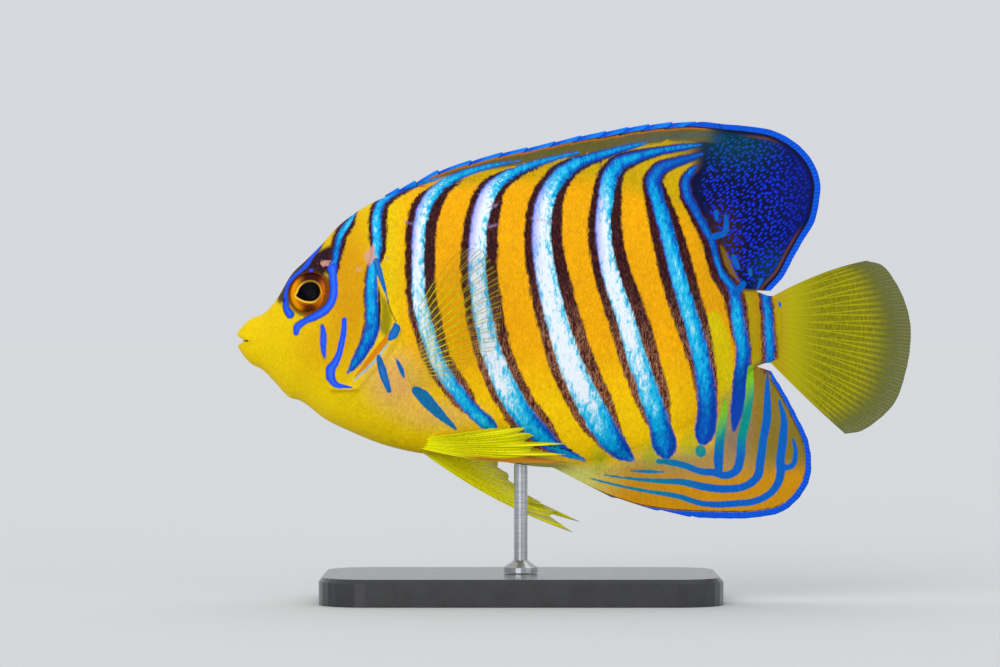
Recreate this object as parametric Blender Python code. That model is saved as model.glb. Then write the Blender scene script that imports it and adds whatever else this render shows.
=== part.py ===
"""Regal angelfish, life size, as a still museum model on a plain display stand.

The fish faces -X and its left side faces -Y. Sizes here are in millimetres and are scaled to metres
when a mesh is made. On the body, s is the distance behind the tip of the snout, h the height above the
long axis, and y the distance to the fish's right.
"""

import math

import bmesh
import bpy
import numpy as np
from mathutils import Vector

MM = 0.001
GAP = 0.3  # space between pieces that touch
TOTAL_LENGTH = 200.0  # tip of the snout to the end of the tail fin
AXIS_HEIGHT = 80.0  # long axis of the body above the table
SWAY_START = 110.0  # behind this the tail bends to the right
SWAY = 4.0  # how far the end of the tail fin has swung

BASE_LENGTH = 118.0
BASE_DEPTH = 66.0
BASE_THICKNESS = 8.0
BASE_CORNER = 14.0
BASE_CHAMFER = 1.2
BASE_MIDDLE = 84.0  # the stand carries the fish this far behind the snout
ROD_RADIUS = 2.0
COLLAR_RADIUS = 5.0
COLLAR_HEIGHT = 3.0

# Back and belly of the bare body, without fins, as (s, h).
BACK = [
    (0, -0.9), (1.8, 1.5), (4.4, 3.6), (7.7, 4.9), (11.8, 9.3), (16, 16.4), (20.4, 20.8),
    (24.9, 25.3), (29.3, 30.2), (35.8, 35.3), (45.9, 40.3), (60, 43.5), (78, 45.6),
    (95.6, 46.2), (107.4, 45), (119.3, 42), (131, 36.4), (140, 29), (147.4, 20.1),
    (152.4, 12.8), (156.3, 10.7), (161.3, 10.1),
]
BELLY = [
    (0, -4.7), (1.5, -7.1), (3.8, -9.8), (7.7, -12), (10.7, -15), (15.8, -20.2), (18.1, -20.8),
    (26.3, -26.6), (34.6, -30.6), (42.3, -33.7), (50.5, -35.9), (60, -37.3), (76.7, -38.8),
    (86.4, -40.3), (94.7, -40.8), (104.5, -39.7), (113.4, -37.9), (122.2, -34.9), (131, -30.8),
    (140, -25.2), (147.4, -18.4), (152.4, -12), (155.5, -10.3), (161.3, -10.1),
]
HALF_WIDTH = [
    (0, 1.6), (2, 3.4), (5, 5), (9, 6.3), (14, 8.2), (20, 10.2), (28, 12.2), (38, 13.6),
    (50, 14.2), (65, 14.3), (80, 13.4), (100, 11), (120, 8), (140, 5.2), (152, 3.6), (161.3, 1.8),
]
# Rear edge of the gill cover and its line over the nape, as (share of the body's height, s).
GILL_EDGE = [
    (0, 27), (0.1, 31), (0.2, 36), (0.3, 41), (0.4, 46.5), (0.46, 48.6), (0.52, 48.2),
    (0.6, 45.5), (0.7, 43), (0.85, 42), (1, 41),
]
# Front edge of the gill cover, where it stands up from the cheek.
CHEEK_EDGE = [(0, 20), (0.15, 28), (0.3, 34), (0.45, 36), (0.6, 35), (0.8, 33), (1, 32)]
BACK_SHARPNESS = 1.12
BELLY_SHARPNESS = 0.95
GILL_RAISE = 0.8
CHEEK_RAISE = 0.4
PEDUNCLE_START = 154.0
BODY_END = 161.3

HEAD_RINGS = 20
TRUNK_RINGS = 23
PEDUNCLE_RINGS = 4
RING_STEPS = 17  # from belly to back on each side

EYE_S, EYE_H, EYE_Y = 22.5, 10.3, 6.4
EYE_RADIUS = 7.0
EYE_DEPTH = 4.5
EYE_AXIS = (-0.22, 1.0, 0.25)  # outwards, for the right eye
RIM_TUBE = 1.0
RIM_RISE = 2.3  # of the rim, outwards from the middle of the eye

SPINE_ROOT = (28.0, -16.8)  # of the cheek spine, as (s, h)
SPINE_LENGTH = 8.0
SPINE_RADIUS = 1.1
NOSTRILS = [(11.4, 6.0, 0.55), (14.2, 8.6, 0.7)]  # s, h and radius of the hole

# Mouth slit as an outline in (s, h), open to the front.
MOUTH = [
    (4.3, -2.96), (1.4, -2.75), (0.5, -2.1), (-0.1, -0.9), (-2, -0.9), (-2, -4.7), (-0.1, -4.7),
    (0.5, -3.9), (1.4, -3.2),
]
UPPER_LIP = [(0.9, 0, -1.6), (1.2, 1.5, -1.7), (2.2, 2.9, -1.95), (3.6, 4.0, -2.3), (5.2, 4.8, -2.5)]
LOWER_LIP = [(1.1, 0, -4.2), (1.4, 1.5, -4.15), (2.4, 2.9, -3.9), (3.7, 4.0, -3.6), (5.2, 4.8, -3.4)]
LIP_RADIUS = 0.85

# Tips of the dorsal spines, then the edge of the soft part, as (s, h).
DORSAL_SPINE_TIPS = [
    (43.8, 40.6), (48, 42.4), (53, 44.5), (60, 47.7), (69.9, 50.6), (79.2, 52.9), (86.6, 54.3),
    (94.9, 56.1), (102.5, 57.8), (109.9, 59.1), (116.5, 60.3), (122.6, 61.1), (129.5, 61.7),
    (136.4, 61.8),
]
DORSAL_SOFT_EDGE = [
    (137.6, 61.7), (144, 61), (151.4, 60.4), (159, 59.1), (164.2, 56.5), (168.1, 53.3),
    (171.3, 48.8), (172.9, 43.7), (172.5, 37.9), (170.9, 31.5), (168.1, 27), (164.8, 21.3),
    (161.6, 15.5), (158, 11.6),
]
DORSAL_START, DORSAL_JOIN, DORSAL_END = 42.8, 111.0, 151.8
DORSAL_SOFT_RAYS = 18
ANAL_SPINE_TIPS = [(111, -49.6), (124.1, -53.4), (134, -55.3)]
ANAL_EDGE = [
    (137, -55.6), (143.2, -55.8), (153.8, -55.5), (161.7, -53.7), (167, -49), (169.6, -44.2),
    (170.1, -38.9), (169.1, -32.6), (165.9, -25.7), (161.7, -17.8), (158.2, -12.2),
]
ANAL_START, ANAL_JOIN, ANAL_END = 88.0, 106.0, 152.6
ANAL_SOFT_RAYS = 17
TAIL_EDGE = [
    (186.5, 20.6), (191.2, 19.3), (195, 14.8), (198.2, 8.4), (200, 0.7), (199.8, -5.7),
    (198.2, -13.4), (195, -21.8), (189.9, -26.9), (184.7, -30.1), (180.2, -30.8),
]
TAIL_RAYS = 17
# Pectoral fin, measured from the middle of its root: back, up.
PECTORAL_ROOT = (50.3, -9.8)
PECTORAL_ROOT_LINE = [(-1.2, 6.2), (1.6, -6.6)]
PECTORAL_EDGE = [
    (15.8, 33.4), (22.2, 33.3), (26.4, 27), (28.4, 18.9), (28.3, 11.5), (26.2, 4.6), (19.4, -0.6),
    (11.6, -5), (6, -7),
]
PECTORAL_BOW = 2.6  # how far its top ray bows upwards
PECTORAL_RAYS = 15
PECTORAL_SPREAD = 26.0  # degrees that the fin stands out from the flank
PECTORAL_CURL = 4.0  # how far its edge bends back towards the body
# Pelvic fins as (s, y, h) for the root, middle and tip of each ray, from the leading edge inwards.
PELVIC_LEFT = [
    ((50.8, -2.6, -33.6), (73, -7.4, -38.2), (97.6, -10.6, -38.9)),
    ((51.4, -3.1, -33.4), (73.5, -8.6, -36.2), (97.3, -11.4, -36.6)),
    ((52, -3.6, -33.0), (73, -9.8, -34.2), (97.4, -12.4, -33.3)),
    ((52.8, -4.0, -32.6), (70, -10.6, -32.4), (86.5, -13.2, -30.3)),
    ((53.6, -4.5, -32.2), (68, -11.2, -31.0), (84.7, -13.6, -28.6)),
    ((54.6, -5.0, -31.8), (64, -11.0, -30.6), (75, -13.4, -28.8)),
]
PELVIC_RIGHT = [
    ((50.8, 2.6, -33.2), (74.5, 7.2, -49.2), (99.6, 10.2, -60.4)),
    ((51.5, 2.8, -33.2), (75.2, 7.3, -47.8), (101.6, 10.6, -57.2)),
    ((52.2, 3.0, -33.2), (71.4, 7.4, -45.4), (90.8, 10.2, -53.4)),
    ((52.9, 3.1, -33.2), (71.0, 7.5, -44.2), (90.0, 10.6, -51.4)),
    ((53.6, 3.2, -33.2), (69.0, 7.5, -42.4), (84.6, 10.4, -48.3)),
    ((54.3, 3.3, -33.2), (68.4, 7.5, -41.2), (83.0, 10.5, -46.4)),
    ((55.1, 3.5, -33.2), (67.6, 7.4, -39.4), (80.2, 10.3, -42.8)),
    ((56.0, 3.7, -33.2), (66.6, 7.2, -37.5), (77.0, 9.8, -38.6)),
]
# How far the skin on each side of a gap between two rays ends short of their tips.
ANAL_CLEFTS = {0: (1.4, 0.1), 1: (1.3, 0.1), 2: (0.6, 0.1)}
PELVIC_CLEFTS_LEFT = {0: (11, 11), 1: (11, 11), 2: (11, 1)}
PELVIC_CLEFTS_RIGHT = {0: (9, 9), 1: (11, 1)}

YELLOW = (0.80, 0.55, 0.02)
ORANGE = (0.85, 0.42, 0.01)
FIN_YELLOW = (0.62, 0.58, 0.02)
DEEP_BLUE = (0.01, 0.06, 0.45)
EYE_BROWN = (0.12, 0.04, 0.01)
STAND_BLACK = (0.03, 0.03, 0.035)
STEEL = (0.55, 0.56, 0.58)


def smooth(pairs):
    """A smooth function through a few (position, value) pairs."""
    xs, ys = np.array(pairs, float).T
    slopes = np.gradient(ys, xs)

    def at(x):
        x = np.clip(np.asarray(x, float), xs[0], xs[-1])
        i = np.clip(np.searchsorted(xs, x) - 1, 0, len(xs) - 2)
        width = xs[i + 1] - xs[i]
        t = (x - xs[i]) / width
        start = (1 + 2 * t) * (1 - t) ** 2 * ys[i] + t * (1 - t) ** 2 * width * slopes[i]
        end = t**2 * (3 - 2 * t) * ys[i + 1] + t**2 * (t - 1) * width * slopes[i + 1]
        return start + end

    return at


def path(points, by_length=True):
    """A smooth line through points, from 0 at the first to 1 at the last."""
    points = np.array(points, float)
    steps = np.ones(len(points) - 1)
    if by_length:
        steps = np.linalg.norm(np.diff(points, axis=0), axis=1)
    knots = np.concatenate([[0], np.cumsum(steps)]) / steps.sum()
    axes = [smooth(list(zip(knots, column))) for column in points.T]
    return lambda u: np.stack([axis(u) for axis in axes], axis=-1)


back_at = smooth(BACK)
belly_at = smooth(BELLY)
half_width_at = smooth(HALF_WIDTH)
gill_edge_at = smooth(GILL_EDGE)
cheek_edge_at = smooth(CHEEK_EDGE)


def sway(s):
    """How far the body has bent to the right at s."""
    reach = np.clip((np.asarray(s, float) - SWAY_START) / (TOTAL_LENGTH - SWAY_START), 0, None)
    return SWAY * reach**2


def place(points):
    """Points (s, y, h) of the fish in millimetres, as positions in the room in metres."""
    s, y, h = np.asarray(points, float).T
    return np.stack([s - TOTAL_LENGTH / 2, y + sway(s), h + AXIS_HEIGHT], axis=-1) * MM


def ramp(x, low, high):
    """0 below low, 1 above high, smooth between."""
    t = np.clip((x - low) / (high - low), 0, 1)
    return t * t * (3 - 2 * t)


def head_relief(s, share):
    """How far the gill cover and the cheek stand out from the plain body, at a share of its height."""
    band = ramp(share, 0.08, 0.25) * (1 - ramp(share, 0.62, 0.8))
    gill = GILL_RAISE * ramp(s - cheek_edge_at(share), 0, 6)
    cheek = CHEEK_RAISE * ramp(s, 12, 20) * (1 - ramp(s - cheek_edge_at(share), -0.5, 1.5))
    return band * (gill + cheek)


def section(s_of_share, grow=0.0, relief=None):
    """One closed ring of the body, from the belly up the left side and down the right."""
    angles = np.linspace(-math.pi / 2, math.pi / 2, RING_STEPS + 1)
    angles = np.concatenate([angles, angles[-2:0:-1]])
    sides = np.concatenate([-np.ones(RING_STEPS + 1), np.ones(RING_STEPS - 1)])
    share = 0.5 + 0.5 * np.sin(angles)
    s = s_of_share(share)
    low, high = belly_at(s) - grow, back_at(s) + grow
    sharpness = np.where(angles > 0, BACK_SHARPNESS, BELLY_SHARPNESS)
    out = (half_width_at(s) + grow) * np.clip(np.cos(angles), 0, 1) ** sharpness
    if relief is not None:
        out = out + relief(s, share) * np.clip(np.cos(angles) * 3, 0, 1)
    return np.stack([s, sides * out, low + (high - low) * share], axis=-1)


def ladder(ring, first, reverse):
    """Faces that close a ring by joining its left side to its right."""
    faces = []
    for i in range(RING_STEPS):
        left, left_next = first + i, first + i + 1
        right, right_next = first + (ring - i) % ring, first + ring - i - 1
        face = [left, left_next, right_next, right]
        face = list(dict.fromkeys(face))
        faces.append(face[::-1] if reverse else face)
    return faces


def loft(rings):
    """Points and faces of the closed skin over a row of body rings, front to back."""
    ring = len(rings[0])
    faces = ladder(ring, 0, False)
    for k in range(len(rings) - 1):
        for i in range(ring):
            a, b = k * ring + i, k * ring + (i + 1) % ring
            faces.append([a, a + ring, b + ring, b])
    faces += ladder(ring, (len(rings) - 1) * ring, True)
    return np.concatenate(rings), faces


def make_material(name, colour, roughness=0.4, metallic=0.0):
    material = bpy.data.materials.new(name)
    material.use_nodes = True
    shader = material.node_tree.nodes["Principled BSDF"]
    shader.inputs["Base Color"].default_value = (*colour, 1)
    shader.inputs["Roughness"].default_value = roughness
    shader.inputs["Metallic"].default_value = metallic
    return material


def make_object(name, points, faces, material=None):
    """An object from points in metres, its faces turned to point outwards."""
    mesh = bpy.data.meshes.new(name)
    mesh.from_pydata([tuple(map(float, p)) for p in points], [], [list(map(int, f)) for f in faces])
    skin = bmesh.new()
    skin.from_mesh(mesh)
    bmesh.ops.recalc_face_normals(skin, faces=skin.faces)
    if skin.calc_volume(signed=True) < 0:
        bmesh.ops.reverse_faces(skin, faces=skin.faces)
    skin.to_mesh(mesh)
    skin.free()
    obj = bpy.data.objects.new(name, mesh)
    bpy.context.scene.collection.objects.link(obj)
    if material is not None:
        mesh.materials.append(material)
    return obj


def helper(name, points, faces):
    """A shape that only cuts or joins others and isn't itself part of the model."""
    obj = make_object(name, points, faces)
    obj.hide_render = True
    obj.display_type = "WIRE"
    return obj


def keep_largest(mesh):
    """Removes every closed surface of the mesh but the one with the most faces."""
    skin = bmesh.new()
    skin.from_mesh(mesh)
    left, islands = set(skin.verts), []
    while left:
        queue = [left.pop()]
        island = set(queue)
        while queue:
            for edge in queue.pop().link_edges:
                for vert in edge.verts:
                    if vert in left:
                        left.remove(vert)
                        island.add(vert)
                        queue.append(vert)
        islands.append(island)
    islands.sort(key=len)
    for island in islands[:-1]:
        bmesh.ops.delete(skin, geom=list(island), context="VERTS")
    skin.to_mesh(mesh)
    skin.free()


def combine(obj, others, operation):
    """Joins the other shapes to obj, or cuts them from it, and removes them."""
    group = bpy.data.collections.new(f"{obj.name}_{operation.lower()}")
    bpy.context.scene.collection.children.link(group)
    for other in others:
        group.objects.link(other)
    modifier = obj.modifiers.new(operation.title(), "BOOLEAN")
    modifier.operation = operation
    modifier.operand_type = "COLLECTION"
    modifier.collection = group
    modifier.solver = "EXACT"
    graph = bpy.context.evaluated_depsgraph_get()
    mesh = bpy.data.meshes.new_from_object(obj.evaluated_get(graph))
    obj.modifiers.clear()
    obj.data = mesh
    for other in others:
        bpy.data.objects.remove(other)
    bpy.data.collections.remove(group)
    keep_largest(obj.data)


def shade_round(obj, angle=40):
    obj.data.shade_smooth()
    obj.data.set_sharp_from_angle(angle=math.radians(angle))


def body_clearance():
    """The body's own rings behind the gill, grown by the gap, to cut the roots of what grows from it."""
    rings = trunk_rings(GAP) + peduncle_rings(GAP)[1:]
    return helper("clearance", place(loft(rings)[0]), loft(rings)[1])


def head_rings():
    shares = np.linspace(0, 1, HEAD_RINGS) ** 1.25
    return [section(lambda f, a=a: gill_edge_at(f) * a, relief=head_relief) for a in shares]


def trunk_rings(grow=0.0):
    def ring_at(a):
        def position(share):
            start = gill_edge_at(share) + GAP * 1.4
            return start + (PEDUNCLE_START - start) * a

        return position

    return [section(ring_at(a), grow) for a in np.linspace(0, 1, TRUNK_RINGS)]


def peduncle_rings(grow=0.0):
    positions = np.linspace(PEDUNCLE_START + GAP, BODY_END, PEDUNCLE_RINGS)
    return [section(lambda f, s=s: np.full_like(f, s), grow) for s in positions]


def frame_round(axis):
    """Two directions square to an axis."""
    axis = Vector(axis).normalized()
    first = axis.cross(Vector((0, 0, 1))).normalized()
    return axis, first, first.cross(axis)


def ellipsoid(centre, axis, radius, depth, rings=10, sides=18):
    """A ball of this radius, squeezed to depth along axis, with a pole at each end of that axis."""
    axis, first, second = (np.array(v) for v in frame_round(axis))
    points = [np.array(centre) + axis * depth]
    for k in range(1, rings):
        lean = math.pi * k / rings
        for i in range(sides):
            turn = 2 * math.pi * i / sides
            across = first * math.cos(turn) + second * math.sin(turn)
            points.append(centre + axis * depth * math.cos(lean) + across * radius * math.sin(lean))
    points.append(np.array(centre) - axis * depth)
    faces = [[0, 1 + i, 1 + (i + 1) % sides] for i in range(sides)]
    for k in range(rings - 2):
        for i in range(sides):
            a, b = 1 + k * sides + i, 1 + k * sides + (i + 1) % sides
            faces.append([a, a + sides, b + sides, b])
    last, start = len(points) - 1, 1 + (rings - 2) * sides
    faces += [[last, start + (i + 1) % sides, start + i] for i in range(sides)]
    return np.array(points), faces


def torus(centre, axis, radius, tube, sides=22, tube_sides=6):
    axis, first, second = (np.array(v) for v in frame_round(axis))
    points, faces = [], []
    for i in range(sides):
        turn = 2 * math.pi * i / sides
        out = first * math.cos(turn) + second * math.sin(turn)
        for j in range(tube_sides):
            roll = 2 * math.pi * j / tube_sides
            points.append(centre + out * (radius + tube * math.cos(roll)) + axis * tube * math.sin(roll))
    for i in range(sides):
        for j in range(tube_sides):
            a, b = i * tube_sides, (i + 1) % sides * tube_sides
            faces.append([a + j, b + j, b + (j + 1) % tube_sides, a + (j + 1) % tube_sides])
    return np.array(points), faces


def tube(line, radii, sides=8):
    """A closed tube of varying radius along a line of points, with flat ends."""
    line = np.array(line, float)
    points, faces = [], []
    for i, (centre, radius) in enumerate(zip(line, radii)):
        along = line[min(i + 1, len(line) - 1)] - line[max(i - 1, 0)]
        _, first, second = (np.array(v) for v in frame_round(along))
        for j in range(sides):
            turn = 2 * math.pi * j / sides
            points.append(centre + (first * math.cos(turn) + second * math.sin(turn)) * radius)
    for i in range(len(line) - 1):
        for j in range(sides):
            a, b = i * sides + j, i * sides + (j + 1) % sides
            faces.append([a, a + sides, b + sides, b])
    faces.append(list(range(sides))[::-1])
    faces.append(list(range((len(line) - 1) * sides, len(line) * sides)))
    return np.array(points), faces


def surface_y(s, h):
    """Half the body's width at (s, h)."""
    low, high = float(belly_at(s)), float(back_at(s))
    share = (h - low) / (high - low)
    cosine = math.sqrt(max(0.0, 1 - (2 * share - 1) ** 2))
    sharpness = BACK_SHARPNESS if share > 0.5 else BELLY_SHARPNESS
    return float(half_width_at(s)) * cosine**sharpness


def mirrored(vector, side):
    """The vector for the right side (1) or the left (-1)."""
    return np.array([vector[0], vector[1] * side, vector[2]], float)


def lip(name, half):
    """A lip, as a tube that runs from one corner of the mouth round the front to the other."""
    line = [mirrored(p, -1) for p in half[:0:-1]] + [np.array(p, float) for p in half]
    middle = len(half) - 1
    radii = [LIP_RADIUS * (1 - 0.45 * (abs(i - middle) / middle) ** 2) for i in range(len(line))]
    points, faces = tube(line, radii)
    return helper(name, place(points), faces)


def cheek_spine(side):
    """The long spine on the lower corner of each cheek, which points back."""
    s, h = SPINE_ROOT
    start = np.array([s, side * (surface_y(s, h) - 0.4), h])
    end = np.array([s + SPINE_LENGTH, side * (surface_y(s + SPINE_LENGTH, h) + 1.3), h - 0.6])
    line = [start + (end - start) * t for t in (0, 0.35, 0.7, 1)]
    points, faces = tube(line, [SPINE_RADIUS, 0.95 * SPINE_RADIUS, 0.6 * SPINE_RADIUS, 0.12], 7)
    return helper("cheek_spine", place(points), faces)


def nostril_parts(side):
    """The raised rims of the two nostrils on one side, and the pits inside them."""
    rims, pits = [], []
    for s, h, radius in NOSTRILS:
        centre = np.array([s, side * surface_y(s, h), h])
        axis = mirrored((-0.45, 1, 0.35), side)
        rims.append(helper("nostril_rim", place(torus(centre, axis, radius + 0.3, 0.35, 9, 5)[0]),
                           torus(centre, axis, radius + 0.3, 0.35, 9, 5)[1]))
        inward = axis / np.linalg.norm(axis)
        points, faces = tube([centre + inward * 1.0, centre - inward * 0.9], [radius, 0.7 * radius], 8)
        pits.append(helper("nostril_pit", place(points), faces))
    return rims, pits


def prism(outline, half):
    """A closed prism across the fish over an outline in (s, h)."""
    count = len(outline)
    points = [(s, y, h) for y in (-half, half) for s, h in outline]
    faces = [list(range(count)), list(range(count, 2 * count))[::-1]]
    for i in range(count):
        j = (i + 1) % count
        faces.append([i, j, j + count, i + count])
    return np.array(points, float), faces


def make_head(material):
    points, faces = loft(head_rings())
    head = make_object("head", place(points), faces, material)
    joined = [lip("upper_lip", UPPER_LIP), lip("lower_lip", LOWER_LIP)]
    cuts = []
    for side in (-1, 1):
        centre = np.array([EYE_S, side * EYE_Y, EYE_H])
        axis = mirrored(EYE_AXIS, side)
        outward = axis / np.linalg.norm(axis)
        rim = torus(centre + outward * RIM_RISE, axis, EYE_RADIUS - 0.3, RIM_TUBE)
        joined.append(helper("eye_rim", place(rim[0]), rim[1]))
        joined.append(cheek_spine(side))
        rims, pits = nostril_parts(side)
        joined += rims
        socket = ellipsoid(centre, axis, EYE_RADIUS + GAP, EYE_DEPTH + GAP)
        cuts.append(helper("socket", place(socket[0]), socket[1]))
        cuts += pits
    slit = prism(MOUTH, 9.0)
    combine(head, [helper("mouth", place(slit[0]), slit[1])], "DIFFERENCE")
    combine(head, joined, "UNION")
    combine(head, cuts, "DIFFERENCE")
    shade_round(head)


def make_eyes(material):
    for name, side in (("eye_left", -1), ("eye_right", 1)):
        centre = np.array([EYE_S, side * EYE_Y, EYE_H])
        points, faces = ellipsoid(centre, mirrored(EYE_AXIS, side), EYE_RADIUS, EYE_DEPTH)
        shade_round(make_object(name, place(points), faces, material))


def make_body(material):
    for name, rings in (("trunk", trunk_rings()), ("tail_stalk", peduncle_rings())):
        points, faces = loft(rings)
        shade_round(make_object(name, place(points), faces, material))


def ray_columns(rays):
    """Positions across a fin from 0 to 1, each with 1 on a ray's crest and 0 beside it."""
    gap = 1 / (rays - 1)
    columns = []
    for k in range(rays):
        for offset, crest in ((-0.24, 0), (0, 1), (0.24, 0)):
            at = (k + offset) * gap
            if 0 <= at <= 1:
                columns.append((at, crest, offset))
    return columns


def fin(name, material, root, tip, rays, rows, base, edge, ridge, across=(0, 1, 0), middle=None,
        notch=0.0, clefts=None, camber=0.0):
    """A thin fin whose rays run from root(u) to tip(u) and stand up as ridges on both faces.

    base, edge and ridge are half thicknesses at the root, at the edge, and of a ray above the membrane.
    Behind each ray the edge steps in by notch, or by its two depths where clefts names the gap, counted
    from 0. camber bows the middle of the fin along across.
    """
    across = np.array(across, float) / np.linalg.norm(across)
    columns = ray_columns(rays)
    left, right = [], []
    for u, crest, offset in columns:
        start, end = root(u), tip(u)
        length = np.linalg.norm(end - start)
        depths = (clefts or {}).get(math.floor(u * (rays - 1)), (notch, 0.2 * notch))
        inset = depths[0] if offset > 0 else depths[1] if offset < 0 else 0
        end = end - (end - start) * min(inset / length, 0.5)
        bend = 0 if middle is None else middle(u) - (start + end) / 2
        for j in range(rows + 1):
            v = j / rows
            centre = start + (end - start) * v + 4 * v * (1 - v) * bend
            centre = centre + across * camber * v * v * math.sin(math.pi * u)
            half = edge + (base - edge) * (1 - v) ** 2 + ridge * crest * (1 - 0.6 * v)
            left.append(centre - across * half)
            right.append(centre + across * half)
    points = np.array(left + right)
    total, stride = len(left), rows + 1
    faces = []
    for i in range(len(columns) - 1):
        for j in range(rows):
            a, b = i * stride + j, (i + 1) * stride + j
            for triangle in ([a, b, b + 1], [a, b + 1, a + 1]):
                faces.append(triangle)
                faces.append([k + total for k in triangle[::-1]])
    rim = [(i * stride, (i + 1) * stride) for i in range(len(columns) - 1)]
    rim += [((len(columns) - 1) * stride + j, (len(columns) - 1) * stride + j + 1) for j in range(rows)]
    rim += [((i + 1) * stride + rows, i * stride + rows) for i in range(len(columns) - 1)]
    rim += [(j + 1, j) for j in range(rows)]
    for a, b in rim:
        faces.append([b, a, a + total])
        faces.append([b, a + total, b + total])
    obj = make_object(name, place(points), faces, material)
    shade_round(obj, 30)
    return obj


def sunk_root(line_at, start, end, depth):
    """The line on the back or belly that a fin grows from, sunk into the body by depth."""
    sign = 1 if float(line_at(end)) > 0 else -1

    def at(u):
        s = start + (end - start) * u
        slope = float(line_at(s + 0.5) - line_at(s - 0.5))
        normal = np.array([-slope * sign, 0, sign]) / math.hypot(1, slope)
        return np.array([s, 0, float(line_at(s))]) - normal * depth

    return at


def flat(points):
    """Points (s, h) in the fish's middle plane."""
    return [(s, 0, h) for s, h in points]


def make_dorsal_fin(material_spiny, material_soft):
    spiny = fin(
        "dorsal_fin_spiny", material_spiny,
        sunk_root(back_at, DORSAL_START, DORSAL_JOIN, 2.5),
        path(flat(DORSAL_SPINE_TIPS), by_length=False),
        len(DORSAL_SPINE_TIPS), 5, 1.5, 0.26, 0.3, notch=1.0,
    )
    soft = fin(
        "dorsal_fin_soft", material_soft,
        sunk_root(back_at, DORSAL_JOIN + 1.4, DORSAL_END, 2.5),
        path(flat(DORSAL_SOFT_EDGE)),
        DORSAL_SOFT_RAYS, 5, 1.5, 0.26, 0.22, camber=1.2,
    )
    return [spiny, soft]


def make_anal_fin(material):
    tips = path(flat(ANAL_EDGE))
    spines = len(ANAL_SPINE_TIPS)
    rays = spines + ANAL_SOFT_RAYS
    share = (spines - 0.5) / (rays - 1)
    front = path(flat([*ANAL_SPINE_TIPS, ANAL_EDGE[0]]), by_length=False)
    front_root = sunk_root(belly_at, ANAL_START, ANAL_JOIN, 2.5)
    rear_root = sunk_root(belly_at, ANAL_JOIN, ANAL_END, 2.5)
    last = spines / (rays - 1)

    def tip(u):
        return front(u / last) if u < last else tips((u - last) / (1 - last))

    def root(u):
        return front_root(u / share) if u < share else rear_root((u - share) / (1 - share))

    return fin("anal_fin", material, root, tip, rays, 5, 1.5, 0.26, 0.22, notch=0.12,
               clefts=ANAL_CLEFTS, camber=-1.0)


def make_tail_fin(material):
    top, bottom = float(back_at(BODY_END)) - 0.3, float(belly_at(BODY_END)) + 0.3
    root = path([(BODY_END + GAP, 0, top), (BODY_END + GAP, 0, bottom)])
    half = float(half_width_at(BODY_END))
    fin("tail_fin", material, root, path(flat(TAIL_EDGE)), TAIL_RAYS, 5, half, 0.26, 0.2, camber=1.5)


def make_pectoral_fins(material):
    spread = math.radians(PECTORAL_SPREAD)
    s, h = PECTORAL_ROOT
    fins = []
    for name, side in (("pectoral_fin_left", -1), ("pectoral_fin_right", 1)):
        y = side * (surface_y(s, h) - 1.2)

        def lay(points, curl, side=side, y=y):
            """Points (back, up) of the fin, swung out from the flank, with their rim curled in."""
            return [
                (s + back, y + side * (back * math.tan(spread) - curl * (back / 30) ** 2), h + up)
                for back, up in points
            ]

        root = path(lay(PECTORAL_ROOT_LINE, 0))
        tip = path(lay(PECTORAL_EDGE, PECTORAL_CURL))
        across = (-math.sin(spread), math.cos(spread) * side, 0.0)

        def middle(u, root=root, tip=tip):
            return (root(u) + tip(u)) / 2 + np.array([0, 0, PECTORAL_BOW * (1 - u)])

        fins.append(fin(name, material, root, tip, PECTORAL_RAYS, 5, 0.9, 0.25, 0.2, across=across,
                        middle=middle, camber=0.8))
    return fins


def make_pelvic_fins(material):
    fins = []
    for name, rays, across, clefts in (
        ("pelvic_fin_left", PELVIC_LEFT, (0.1, -1, -0.35), PELVIC_CLEFTS_LEFT),
        ("pelvic_fin_right", PELVIC_RIGHT, (0.2, 1, -0.3), PELVIC_CLEFTS_RIGHT),
    ):
        root, middle, tip = (path([ray[k] for ray in rays], by_length=False) for k in range(3))
        fins.append(fin(name, material, root, tip, len(rays), 8, 0.9, 0.25, 0.3, across=across,
                        middle=middle, notch=2.5, clefts=clefts))
    return fins


def rounded_rectangle(length, depth, corner, steps=7):
    points = []
    for quarter, (along, across) in enumerate(((1, 1), (-1, 1), (-1, -1), (1, -1))):
        for i in range(steps + 1):
            turn = math.pi / 2 * (quarter + i / steps)
            points.append((
                along * (length / 2 - corner) + corner * math.cos(turn),
                across * (depth / 2 - corner) + corner * math.sin(turn),
            ))
    return points


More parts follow.
